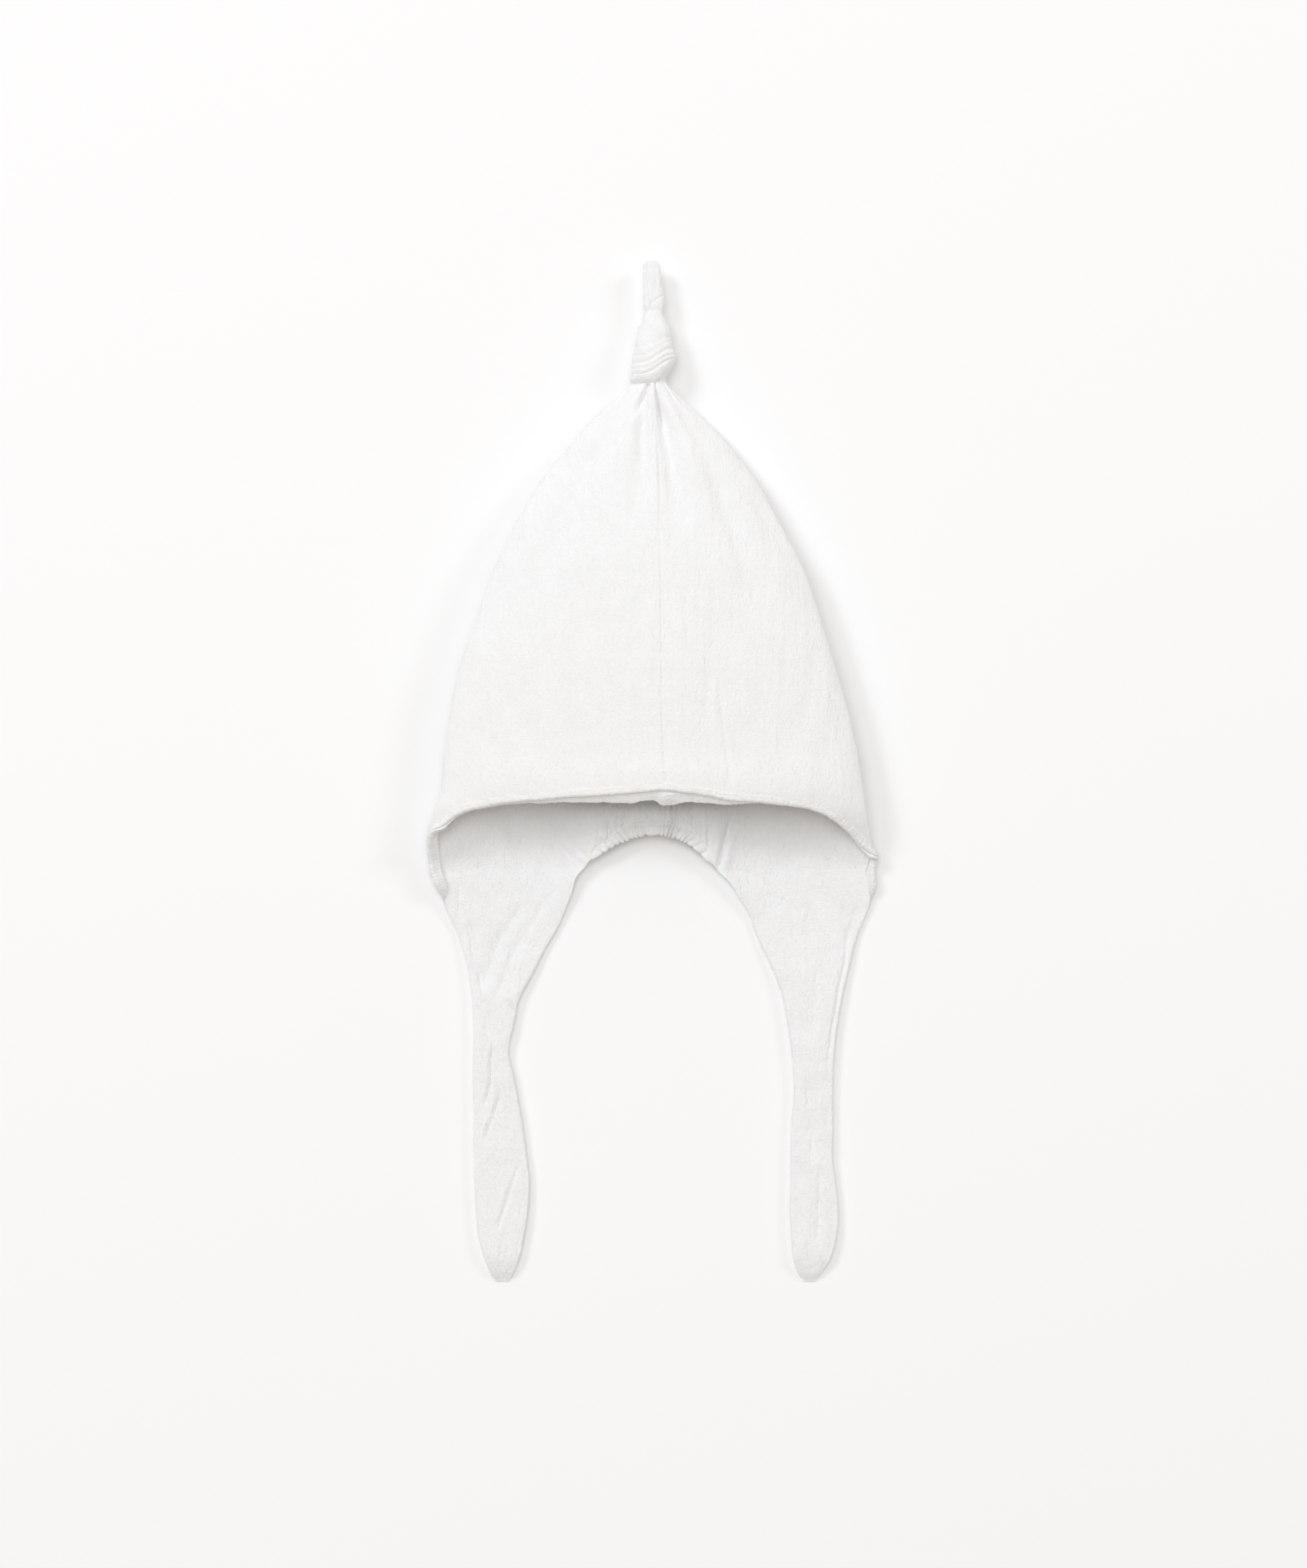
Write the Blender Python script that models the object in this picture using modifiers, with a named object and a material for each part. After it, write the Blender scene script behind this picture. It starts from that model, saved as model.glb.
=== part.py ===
"""An infant's peaked nightcap of crinkled cotton muslin, lying on its back.

Two crown halves are sewn along a seam down the front and the back. Their peak is tied in a knot,
the face edge has a rolled hem, the nape an elastic casing, and each ear flap runs on into a tie.
Units are metres. +Z is up from the surface that the cap lies on, +Y runs towards the tail of the
knot, and +X is the right-hand side as seen from above.
"""

from collections import namedtuple

import bpy
import numpy as np

# Crown: the length is from the knot to the brow edge, the width from side fold to side fold.
CROWN_LENGTH = 0.1990
CROWN_WIDTH = 0.2060
CROWN_HEIGHT = 0.0340
CLOTH_WALL = 0.0016
SEAM_LIP_WIDTH = 0.0030
SEAM_LIP_HEIGHT = 0.0006
SEAM_CLEAR = 0.0010

# Neck of the crown, just under the knot, and how far the front seam wanders from it to the brow.
NECK_WIDTH = 0.0172
NECK_HEIGHT = 0.0130
NECK_X = -0.0006
SEAM_LEAN = 0.0057

# Ear drop: from the brow to where the flaps leave the crown, and the crown's height there.
EAR_DROP = 0.0380
EAR_HEIGHT = 0.0085

# Ear flaps and ties: the length is from the crown to the tip, the spacing between the ties.
TIE_LENGTH = 0.2006
TIE_WIDTH = 0.0268
TIE_SPACING = 0.1540
TIE_THICKNESS = 0.0046

# Rolled hem of the face edge, which runs on a little way down each flap.
HEM_WIDTH = 0.0036
HEM_THICKNESS = 0.0026
HEM_RUN = 0.0172
HEM_STAND = 0.0008
HEM_TURN_CLEAR = 0.0003

# Gathered casing of the nape.
NAPE_WIDTH = 0.0660
NAPE_DROP = 0.0124
NAPE_LIFT = 0.0040
CASING_WIDTH = 0.0088
CASING_THICKNESS = 0.0046
RUFFLE_PITCH = 0.0034
RUFFLE_DEPTH = 0.16

# Knot in the peak, and the tail that sticks out of it.
KNOT_LENGTH = 0.0352
KNOT_WIDTH = 0.0216
KNOT_THICKNESS = 0.0180
TAIL_LENGTH = 0.0254
TAIL_WIDTH = 0.0104
TAIL_THICKNESS = 0.0056

# Pieces that are sewn together keep this gap, and the flaps' roots a little more.
GAP = 0.0003
ROOT_GAP = 0.0006

OVERALL_LENGTH = TAIL_LENGTH + KNOT_LENGTH + CROWN_LENGTH + EAR_DROP + ROOT_GAP + TIE_LENGTH
KNOT_BASE_Y = OVERALL_LENGTH / 2 - TAIL_LENGTH - KNOT_LENGTH
BROW_Y = KNOT_BASE_Y - CROWN_LENGTH
FLAP_TOP_Y = BROW_Y - EAR_DROP

LEFT, RIGHT = "left", "right"
SIGN = {LEFT: -1.0, RIGHT: 1.0}

# Crown outline. down is 0 at the knot, 1 at the brow and 2 where the flaps leave the crown.
# left and right are shares of the way from the neck's half width to the crown's. height is the
# share of the way to the crown's height, from the neck's above the brow and the ear's below it.
# seam is the share of the front seam's lean.
Section = namedtuple("Section", "down left right height seam")
CROWN_SECTIONS = (
    Section(0.00, 0.022, -0.020, 0.00, 0.00),
    Section(0.03, 0.098, 0.039, 0.09, 0.05),
    Section(0.08, 0.217, 0.159, 0.22, 0.11),
    Section(0.16, 0.363, 0.318, 0.42, 0.22),
    Section(0.24, 0.497, 0.442, 0.59, 0.32),
    Section(0.34, 0.620, 0.561, 0.74, 0.43),
    Section(0.44, 0.722, 0.670, 0.85, 0.51),
    Section(0.55, 0.804, 0.749, 0.93, 0.55),
    Section(0.66, 0.887, 0.820, 0.98, 0.58),
    Section(0.78, 0.946, 0.895, 1.00, 0.61),
    Section(0.89, 0.981, 0.950, 1.00, 0.71),
    Section(1.00, 0.997, 0.983, 1.00, 1.00),
    Section(1.25, 1.016, 0.994, 0.88, 1.00),
    Section(1.50, 1.058, 1.016, 0.63, 1.00),
    Section(1.80, 1.046, 1.056, 0.20, 1.00),
    Section(2.00, 1.036, 1.066, 0.00, 1.00),
)

# Edge of the crown's cloth round the face. around is 0 at the front seam and about 0.5 at the
# side fold, as a share of the cloth from the front seam to the back seam.
Edge = namedtuple("Edge", "around left right")
BROW_EDGE = (
    Edge(0.000, 0.974, 0.974),
    Edge(0.120, 0.984, 0.986),
    Edge(0.260, 0.994, 1.000),
    Edge(0.330, 0.999, 1.048),
    Edge(0.365, 1.010, 1.094),
    Edge(0.400, 1.036, 1.194),
    Edge(0.430, 1.076, 1.330),
    Edge(0.455, 1.148, 1.480),
    Edge(0.475, 1.280, 1.620),
    Edge(0.495, 1.580, 1.800),
    Edge(0.510, 2.000, 2.000),
)
NAPE_CORNER = {LEFT: 1.920, RIGHT: 1.990}
NAPE_CURVE = 2.1

# Folds pressed into the crown. depth is a share of the neck's height, and negative is a ridge.
Fold = namedtuple("Fold", "side around width depth fades")
CROWN_FOLDS = (
    Fold(RIGHT, 0.075, 0.034, 0.27, 0.42),
    Fold(RIGHT, 0.190, 0.050, -0.10, 0.34),
    Fold(RIGHT, 0.330, 0.045, 0.13, 0.50),
    Fold(LEFT, 0.165, 0.034, 0.24, 0.16),
    Fold(LEFT, 0.090, 0.040, 0.08, 0.34),
    Fold(LEFT, 0.300, 0.060, -0.08, 0.30),
    Fold(LEFT, 0.390, 0.050, 0.11, 0.46),
)
FOLD_STARTS = 0.06
NECK_PLEATS = 7
NECK_PLEAT_DEPTH = 0.05
NECK_PLEAT_FADES = 0.14
NAPE_GATHERS = 3
NAPE_GATHER_DEPTH = 0.16

# Ear flaps and ties. down is a share of the length. outer_root and inner_root are how far each
# edge still is towards its corner on the crown, and outer and inner are the tie's own edges from
# its centre line, as shares of its width.
Strap = namedtuple("Strap", "down outer_root inner_root outer inner")
STRAPS = {
    LEFT: (
        Strap(0.000, 1.000, 1.000, 0.418, 0.224),
        Strap(0.025, 0.850, 0.877, 0.418, 0.224),
        Strap(0.065, 0.705, 0.800, 0.418, 0.224),
        Strap(0.105, 0.564, 0.706, 0.418, 0.224),
        Strap(0.145, 0.388, 0.610, 0.418, 0.224),
        Strap(0.185, 0.264, 0.481, 0.418, 0.224),
        Strap(0.224, 0.159, 0.374, 0.418, 0.224),
        Strap(0.264, 0.088, 0.267, 0.418, 0.224),
        Strap(0.304, 0.035, 0.150, 0.418, 0.224),
        Strap(0.364, 0.000, 0.075, 0.418, 0.224),
        Strap(0.442, 0.000, 0.000, 0.418, 0.224),
        Strap(0.502, 0.000, 0.000, 0.430, 0.318),
        Strap(0.581, 0.000, 0.000, 0.418, 0.430),
        Strap(0.661, 0.000, 0.000, 0.416, 0.522),
        Strap(0.740, 0.000, 0.000, 0.403, 0.592),
        Strap(0.820, 0.000, 0.000, 0.373, 0.582),
        Strap(0.900, 0.000, 0.000, 0.306, 0.485),
        Strap(0.950, 0.000, 0.000, 0.190, 0.395),
        Strap(0.985, 0.000, 0.000, 0.040, 0.250),
        Strap(1.000, 0.000, 0.000, -0.060, 0.150),
    ),
    RIGHT: (
        Strap(0.000, 1.000, 1.000, 0.418, 0.358),
        Strap(0.025, 0.970, 0.840, 0.418, 0.358),
        Strap(0.065, 0.857, 0.690, 0.418, 0.358),
        Strap(0.105, 0.730, 0.560, 0.418, 0.358),
        Strap(0.145, 0.607, 0.483, 0.418, 0.358),
        Strap(0.185, 0.480, 0.393, 0.418, 0.358),
        Strap(0.224, 0.393, 0.290, 0.418, 0.358),
        Strap(0.264, 0.286, 0.190, 0.418, 0.358),
        Strap(0.304, 0.196, 0.120, 0.418, 0.358),
        Strap(0.343, 0.125, 0.080, 0.418, 0.358),
        Strap(0.442, 0.000, 0.000, 0.418, 0.358),
        Strap(0.541, 0.000, 0.000, 0.388, 0.313),
        Strap(0.621, 0.000, 0.000, 0.388, 0.358),
        Strap(0.700, 0.000, 0.000, 0.388, 0.373),
        Strap(0.760, 0.000, 0.000, 0.440, 0.373),
        Strap(0.820, 0.000, 0.000, 0.490, 0.388),
        Strap(0.890, 0.000, 0.000, 0.460, 0.362),
        Strap(0.950, 0.000, 0.000, 0.270, 0.245),
        Strap(0.985, 0.000, 0.000, 0.090, 0.110),
        Strap(1.000, 0.000, 0.000, 0.010, 0.060),
    ),
}

# Lengthwise creases in the straps: across is 0 at the outer edge and 1 at the inner one.
Crease = namedtuple("Crease", "side across_from across_to down_from down_to width depth")
STRAP_CREASES = (
    Crease(LEFT, 0.16, 0.34, 0.06, 0.42, 0.07, 0.20),
    Crease(LEFT, 0.46, 0.26, 0.44, 0.62, 0.10, 0.16),
    Crease(LEFT, 0.62, 0.40, 0.78, 0.92, 0.12, 0.12),
    Crease(RIGHT, 0.80, 0.62, 0.03, 0.30, 0.08, 0.14),
    Crease(RIGHT, 0.20, 0.24, 0.12, 0.44, 0.07, 0.18),
    Crease(RIGHT, 0.55, 0.35, 0.62, 0.80, 0.12, 0.12),
)

# Knot and tail. along is a share of the length from the end nearest the crown, left and right are
# shares of the width on each side of the centre line, and thick is a share of the thickness.
Bulge = namedtuple("Bulge", "along left right thick")
KNOT_BULGES = (
    Bulge(0.000, 0.440, 0.240, 0.62),
    Bulge(0.070, 0.505, 0.350, 0.80),
    Bulge(0.157, 0.500, 0.450, 0.94),
    Bulge(0.270, 0.480, 0.505, 1.00),
    Bulge(0.393, 0.454, 0.530, 1.00),
    Bulge(0.584, 0.398, 0.450, 0.90),
    Bulge(0.810, 0.306, 0.360, 0.68),
    Bulge(0.920, 0.235, 0.265, 0.50),
    Bulge(1.000, 0.200, 0.205, 0.40),
)
TAIL_BULGES = (
    Bulge(0.000, 0.365, 0.440, 0.80),
    Bulge(0.160, 0.450, 0.545, 1.00),
    Bulge(0.330, 0.465, 0.530, 1.00),
    Bulge(0.500, 0.460, 0.445, 0.95),
    Bulge(0.700, 0.460, 0.385, 0.90),
    Bulge(0.850, 0.460, 0.340, 0.80),
    Bulge(0.950, 0.410, 0.230, 0.62),
    Bulge(1.000, 0.290, 0.090, 0.40),
)

# Grooves between the turns of cloth on the knot, each higher on its right than on its left.
Wrap = namedtuple("Wrap", "start rise depth")
KNOT_WRAPS = (
    Wrap(0.17, 0.15, 0.12),
    Wrap(0.33, 0.17, 0.08),
    Wrap(0.56, 0.12, 0.05),
)
KNOT_WRAP_WIDTH = 0.045

# How finely each piece is divided.
CROWN_ROWS = 20
BROW_COLUMNS = 18
FLAP_COLUMNS = 9
NAPE_COLUMNS = 8
SECTION_STEPS = 120
HEM_RUN_ROWS = 4
HEM_TURN_ROWS = 5
STRAP_ROWS = 20
HEM_SIDES = 8
CASING_SIDES = 8
RINGS_PER_RUFFLE = 3
KNOT_ROWS = 24
KNOT_SIDES = 18
TAIL_ROWS = 9
TAIL_SIDES = 12


def smooth(x):
    """0 up to x = 0, 1 from x = 1, and a smooth rise between."""
    t = np.clip(x, 0.0, 1.0)
    return t * t * (3 - 2 * t)


def column(rows, name):
    return np.array([getattr(row, name) for row in rows])


def through(rows, key, name, x, scale=lambda share: share):
    """A smooth curve through one column of a table, read at x, on a scale for its key."""
    xs, ys, x = scale(column(rows, key)), column(rows, name), scale(x)
    slopes = np.gradient(ys, xs)
    x = np.clip(x, xs[0], xs[-1])
    i = np.clip(np.searchsorted(xs, x, side="right") - 1, 0, len(xs) - 2)
    span = xs[i + 1] - xs[i]
    t = (x - xs[i]) / span
    rise = ys[i] * (1 + 2 * t) * (1 - t) ** 2 + ys[i + 1] * (3 - 2 * t) * t**2
    return rise + span * (slopes[i] * t * (1 - t) ** 2 - slopes[i + 1] * (1 - t) * t**2)


def unit(vectors):
    return vectors / np.linalg.norm(vectors, axis=-1, keepdims=True)


# Crown


def crown_run(down):
    """Distance from the knot of a share down the crown, where 1 to 2 is the ear drop."""
    return np.minimum(down, 1) * CROWN_LENGTH + np.maximum(down - 1, 0) * EAR_DROP


def section(name, down):
    return through(CROWN_SECTIONS, "down", name, down, crown_run)


def fold_depth(side, down, around):
    """How far the folds and pleats press the crown's surface in."""
    depth = np.zeros_like(around)
    for fold in CROWN_FOLDS:
        if fold.side != side:
            continue
        width = fold.width * (2 - smooth(down / 0.2))
        window = 0.35 + 0.65 * smooth(down / FOLD_STARTS)
        window *= 1 - smooth((down - FOLD_STARTS) / (fold.fades - FOLD_STARTS))
        depth += fold.depth * window * np.exp(-(((around - fold.around) / width) ** 2))
    pleats = 1 - np.cos(2 * np.pi * NECK_PLEATS * around)
    depth += NECK_PLEAT_DEPTH * pleats / 2 * (1 - smooth(down / NECK_PLEAT_FADES))
    return NECK_HEIGHT * depth


def crown_surface(side, down, around):
    """Points of the crown's outer surface, for arrays of down and around."""
    sign = SIGN[side]
    half_width = NECK_WIDTH / 2 + (CROWN_WIDTH - NECK_WIDTH) / 2 * section(side, down)
    low = np.where(down <= 1, NECK_HEIGHT, EAR_HEIGHT)
    height = low + (CROWN_HEIGHT - low) * section("height", down)
    opened = smooth(down / 0.2)
    base = (KNOT_THICKNESS - NECK_HEIGHT) / 2 * (1 - smooth(down / 0.12))
    middle = base + height / 2
    front_x = NECK_X + SEAM_LEAN * section("seam", down) + sign * GAP / 2
    back_x = np.full_like(down, NECK_X + sign * GAP / 2)

    # Each point has its own section, a polyline from the front seam to the back seam.
    turn = np.linspace(0, np.pi, SECTION_STEPS + 1)[None, :]
    top = turn < np.pi / 2
    power = np.where(top, 2 / (2 + 0.3 * opened[:, None]), 2 / (2 + 1.5 * opened[:, None]))
    out = np.abs(np.sin(turn)) ** power
    up = np.abs(np.cos(turn)) ** power
    seam_x = np.where(top, front_x[:, None], back_x[:, None])
    x = seam_x + (sign * half_width[:, None] - seam_x) * out
    flatten = 1 + 0.06 * opened[:, None]
    z_top = middle[:, None] + height[:, None] / 2 * up
    z_under = np.maximum(base[:, None], middle[:, None] - height[:, None] / 2 * flatten * up)
    z = np.where(top, z_top, z_under)

    steps = np.hypot(np.diff(x, axis=1), np.diff(z, axis=1))
    along = np.concatenate([np.zeros((len(x), 1)), np.cumsum(steps, axis=1)], axis=1)
    target = around * along[:, -1]
    i = np.clip((along <= target[:, None]).sum(axis=1) - 1, 0, SECTION_STEPS - 1)
    row = np.arange(len(x))
    t = (target - along[row, i]) / np.maximum(along[row, i + 1] - along[row, i], 1e-12)
    px = x[row, i] * (1 - t) + x[row, i + 1] * t
    pz = z[row, i] * (1 - t) + z[row, i + 1] * t

    # Folds press towards the middle of the section, and the seam's lip stands proud of it.
    inward = unit(np.stack([front_x - px, (middle - pz) * 4], axis=-1))
    inward = np.where((around > 0.5)[:, None], [0.0, 1.0], inward)
    from_front, from_back = around * along[:, -1], (1 - around) * along[:, -1]
    clear = smooth((np.minimum(from_front, from_back) - SEAM_CLEAR) / SEAM_LIP_WIDTH)
    press = fold_depth(side, down, around) * clear * ((around < 0.5) | (base > 0))
    px = px + inward[:, 0] * press
    pz = pz + inward[:, 1] * press
    lip = SEAM_LIP_HEIGHT * (1 - smooth((from_front - SEAM_LIP_WIDTH / 2) / (SEAM_LIP_WIDTH / 2)))
    pz = pz + lip * smooth(down / 0.05) + nape_lift(down, around)
    return np.stack([px, KNOT_BASE_Y - crown_run(down), pz], axis=-1)


def nape_corner_around():
    """Share round the cloth where the nape ends and the ear flap starts, for either side."""
    girth = CROWN_WIDTH * 1.06 + NECK_HEIGHT / 2
    return 1 - NAPE_WIDTH / 2 / girth


def nape_lift(down, around):
    """The elastic lifts the back panel off the surface towards the nape, in soft gathers."""
    corner = nape_corner_around()
    q = (1 - around) / (1 - corner)
    near = smooth((down - 0.9) / 0.35) * (1 - smooth((q - 0.7) / 0.8))
    gathers = 1 + NAPE_GATHER_DEPTH * np.cos(2 * np.pi * NAPE_GATHERS * q) * (q < 1)
    return np.where(around > 0.6, NAPE_LIFT * near * gathers, 0.0)


def edge_down(side, around):
    """How far down the crown its cloth ends: at the brow, along the flap, or at the nape."""
    corner = nape_corner_around()
    ear = BROW_EDGE[-1].around
    top = 1 + NAPE_DROP / EAR_DROP
    brow = through(BROW_EDGE, "around", side, around)
    flap = 2 + (NAPE_CORNER[side] - 2) * smooth((around - ear) / (corner - ear))
    nape = top + (NAPE_CORNER[side] - top) * ((1 - around) / (1 - corner)) ** NAPE_CURVE
    return np.where(around <= ear, brow, np.where(around <= corner, flap, nape))


def crown_columns():
    """Shares round the cloth of the crown's columns, close together at the seam and the fold."""
    ear, corner = BROW_EDGE[-1].around, nape_corner_around()
    t = np.linspace(0, 1, BROW_COLUMNS + 1)
    brow = ear * (t**1.5 * (1 - t) + (1 - (1 - t) ** 1.6) * t)
    seam = np.array([0.35, 1.0]) * SEAM_LIP_WIDTH / CROWN_WIDTH
    flap = ear + (corner - ear) * (1 - np.cos(np.linspace(0, np.pi, FLAP_COLUMNS + 1))) / 2
    nape = np.linspace(corner, 1, NAPE_COLUMNS + 1)
    return np.unique(np.concatenate([brow[:1], seam, brow[1:], flap[1:], nape[1:]]))


def crown_rows():
    """Shares of the way down each column, closer together near the knot, with a narrow last row."""
    t = np.linspace(0, 1, CROWN_ROWS)
    return np.append(t[:-1] ** 1.25, [0.99, 1.0])


def crown_edge(side):
    """The crown's last row, with the direction that leads off its cloth and its outward normal."""
    around = crown_columns()
    down = edge_down(side, around)
    points = crown_surface(side, down, around)
    inside = crown_surface(side, down - 0.02, around)
    nudge = 0.002
    after, before = np.clip(around + nudge, 0, 1), np.clip(around - nudge, 0, 1)
    ahead = crown_surface(side, edge_down(side, after), after)
    behind = crown_surface(side, edge_down(side, before), before)
    tangent = unit(ahead - behind)
    normal = unit(np.cross(points - inside, tangent)) * SIGN[side]
    off = unit(np.cross(tangent, normal)) * SIGN[side]
    return around, points, off, normal


# Meshes


def link(name, mesh, material):
    """A named piece made from a mesh, in the cap's collection, shaded smooth."""
    piece = bpy.data.objects.new(name, mesh)
    mesh.materials.append(material)
    mesh.shade_smooth()
    CAP.objects.link(piece)
    return piece


def mesh_of(name, points, faces):
    mesh = bpy.data.meshes.new(name)
    mesh.from_pydata([tuple(p) for p in points], [], faces)
    mesh.validate()
    return mesh


def grid_faces(rows, columns, flip):
    """Four-sided faces of a grid of points that are listed row by row."""
    faces = []
    for i in range(rows - 1):
        for j in range(columns - 1):
            a = i * columns + j
            face = (a, a + 1, a + columns + 1, a + columns)
            faces.append(face[::-1] if flip else face)
    return faces


def loft(name, rings, material, flip=False):
    """A closed piece through rings of as many points each, with a flat cap at both ends."""
    count, sides = len(rings), len(rings[0])
    faces = []
    for i in range(count - 1):
        for j in range(sides):
            a, b = i * sides + j, i * sides + (j + 1) % sides
            faces.append((a, b, b + sides, a + sides))
    faces.append(tuple(range(sides))[::-1])
    faces.append(tuple((count - 1) * sides + j for j in range(sides)))
    if flip:
        faces = [face[::-1] for face in faces]
    return link(name, mesh_of(name, np.concatenate(rings), faces), material)


def muslin(name, colour, roughness):
    """A matt white cotton, as a plain Principled material."""
    material = bpy.data.materials.new(name)
    material.use_nodes = True
    shader = material.node_tree.nodes["Principled BSDF"]
    shader.inputs["Base Color"].default_value = (*colour, 1.0)
    shader.inputs["Roughness"].default_value = roughness
    shader.inputs["Metallic"].default_value = 0.0
    return material


# Pieces


def build_crown_half(side, material):
    """One half of the crown: its outer surface as a grid, thickened inwards to the cloth's wall."""
    columns, rows = crown_columns(), crown_rows()
    edge = edge_down(side, columns)
    down = (rows[:, None] * edge[None, :]).ravel()
    around = np.tile(columns, len(rows))
    points = crown_surface(side, down, around)
    faces = grid_faces(len(rows), len(columns), flip=side == RIGHT)
    name = "crown_" + side
    piece = link(name, mesh_of(name, points, faces), material)
    wall = piece.modifiers.new("cloth wall", "SOLIDIFY")
    wall.thickness = CLOTH_WALL
    wall.offset = -1
    return piece


def strap_edges(side, down):
    """The outer and inner edge of an ear flap and tie, across the cap, and their root corners."""
    sign = SIGN[side]
    around, points, _, _ = crown_edge(side)
    outer_corner = points[np.searchsorted(around, BROW_EDGE[-1].around - 1e-9)]
    inner_corner = points[np.searchsorted(around, nape_corner_around() - 1e-9)]
    rows = STRAPS[side]
    centre = sign * TIE_SPACING / 2
    under_hem = HEM_WIDTH * (1 - smooth((down * TIE_LENGTH - HEM_RUN) / HEM_WIDTH))
    outer = centre + sign * TIE_WIDTH * through(rows, "down", "outer", down)
    outer_share = through(rows, "down", "outer_root", down)
    outer = outer + (outer_corner[0] + sign * HEM_WIDTH - outer) * outer_share - sign * under_hem
    inner = centre - sign * TIE_WIDTH * through(rows, "down", "inner", down)
    inner = inner + (inner_corner[0] - inner) * through(rows, "down", "inner_root", down)
    return outer, inner


def strap_rows():
    """Shares down an ear flap and tie: those beside the hem first, then closer to the tip."""
    hem = np.linspace(0, HEM_RUN / TIE_LENGTH, HEM_RUN_ROWS + 1)
    t = np.linspace(0, 1, STRAP_ROWS + 1)
    return np.append(hem, hem[-1] + (1 - hem[-1]) * (0.85 * t[1:] + 0.15 * (1 - (1 - t[1:]) ** 3)))


def strap_root(side):
    """The crown's edge between the ear and the nape, which the flap is sewn to."""
    around, points, _, _ = crown_edge(side)
    first = np.searchsorted(around, BROW_EDGE[-1].around - 1e-9)
    last = np.searchsorted(around, nape_corner_around() - 1e-9)
    return points[first : last + 1]


def strap_rings(side):
    """Rings of an ear flap and tie: under side from the outer edge in, then top side back."""
    root = strap_root(side)
    share = (root[:, 0] - root[0, 0]) / (root[-1, 0] - root[0, 0])
    rows = strap_rows()
    rings = []
    for down in rows:
        outer, inner = (float(edge[0]) for edge in strap_edges(side, np.array([down])))
        near_root = 1 - smooth(down / 0.16)
        x = outer + (inner - outer) * share
        y = FLAP_TOP_Y - ROOT_GAP - down * TIE_LENGTH + (root[:, 1] - FLAP_TOP_Y) * near_root
        full = CLOTH_WALL + (TIE_THICKNESS - CLOTH_WALL) * smooth(down / 0.35)
        full = full * (1 - 0.6 * smooth((down - 0.93) / 0.07))
        round_off = (1 - np.abs(2 * share - 1) ** 3.5) ** (1 / 3.5)
        thick = full * (near_root + (1 - near_root) * (0.25 + 0.75 * round_off))
        middle = full / 2 * (1 - near_root) + near_root * CLOTH_WALL / 2
        under = np.maximum(0, middle - thick / 2 * 1.05) + root[:, 2] * near_root
        top = under + thick - full * strap_dents(side, share, down)
        ring = [(x[j], y[j], under[j]) for j in range(len(x))]
        ring += [(x[j], y[j], top[j]) for j in reversed(range(len(x)))]
        rings.append(np.array(ring))
    return rings


def strap_dents(side, across, down):
    """Creases in the top of an ear flap and tie, as shares of its thickness."""
    dent = np.zeros_like(across)
    for crease in STRAP_CREASES:
        if crease.side != side:
            continue
        run = (down - crease.down_from) / (crease.down_to - crease.down_from)
        window = smooth(4 * run) * smooth(4 * (1 - run))
        line = crease.across_from + (crease.across_to - crease.across_from) * run
        dent += crease.depth * window * np.exp(-(((across - line) / crease.width) ** 2))
    return dent


def build_ear_tie(side, material):
    return loft("ear_tie_" + side, strap_rings(side), material, flip=side == RIGHT)


def hem_stations(side):
    """Places along the hem of one side, from the front seam to its end on the flap.

    Off the brow the hem leads on from the cloth. Round the ear it turns to stand out sideways.
    """
    around, points, off, normal = crown_edge(side)
    brow = np.searchsorted(around, BROW_EDGE[-1].around - 1e-9)
    turned = np.zeros(brow + HEM_RUN_ROWS + 1)
    turned[brow + 1 - HEM_TURN_ROWS : brow + 1] = smooth(np.linspace(0, 1, HEM_TURN_ROWS))
    turned[brow + 1 :] = 1
    run = [(ring[0] + ring[-1]) / 2 for ring in strap_rings(side)[: HEM_RUN_ROWS + 1]]
    inset = CLOTH_WALL / 2 * (1 - turned[:brow, None]) - HEM_STAND * turned[:brow, None]
    path = np.concatenate([points[:brow] - normal[:brow] * inset, run])
    tangents = unit(np.gradient(path, axis=0))
    outs = np.concatenate([off[:brow], np.repeat(off[brow - 1 : brow], len(run), axis=0)])
    outs = outs * (1 - turned[:, None]) + np.array([SIGN[side], 0.0, 0.0]) * turned[:, None]
    outs = unit(outs - tangents * np.sum(outs * tangents, axis=1, keepdims=True))
    faces = np.cross(outs, tangents) * SIGN[side]
    path = path + outs * (HEM_TURN_CLEAR * 4 * turned * (1 - turned))[:, None]
    return list(zip(path, outs, faces))


def build_front_hem(material):
    """The rolled hem: a flattened roll along the face edge and a little way down each flap."""
    left, right = hem_stations(LEFT), hem_stations(RIGHT)
    centre = tuple((a + b) / 2 for a, b in zip(left[0], right[0]))
    turns = np.linspace(0, 2 * np.pi, HEM_SIDES, endpoint=False)
    rings = []
    for edge, out, face in left[:0:-1] + [centre] + right[1:]:
        middle = edge + out * (GAP + HEM_WIDTH / 2)
        ring = middle + np.outer(np.cos(turns), out) * HEM_WIDTH / 2
        rings.append(ring + np.outer(np.sin(turns), face) * HEM_THICKNESS / 2)
    return loft("front_hem", rings, material, flip=True)


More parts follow.
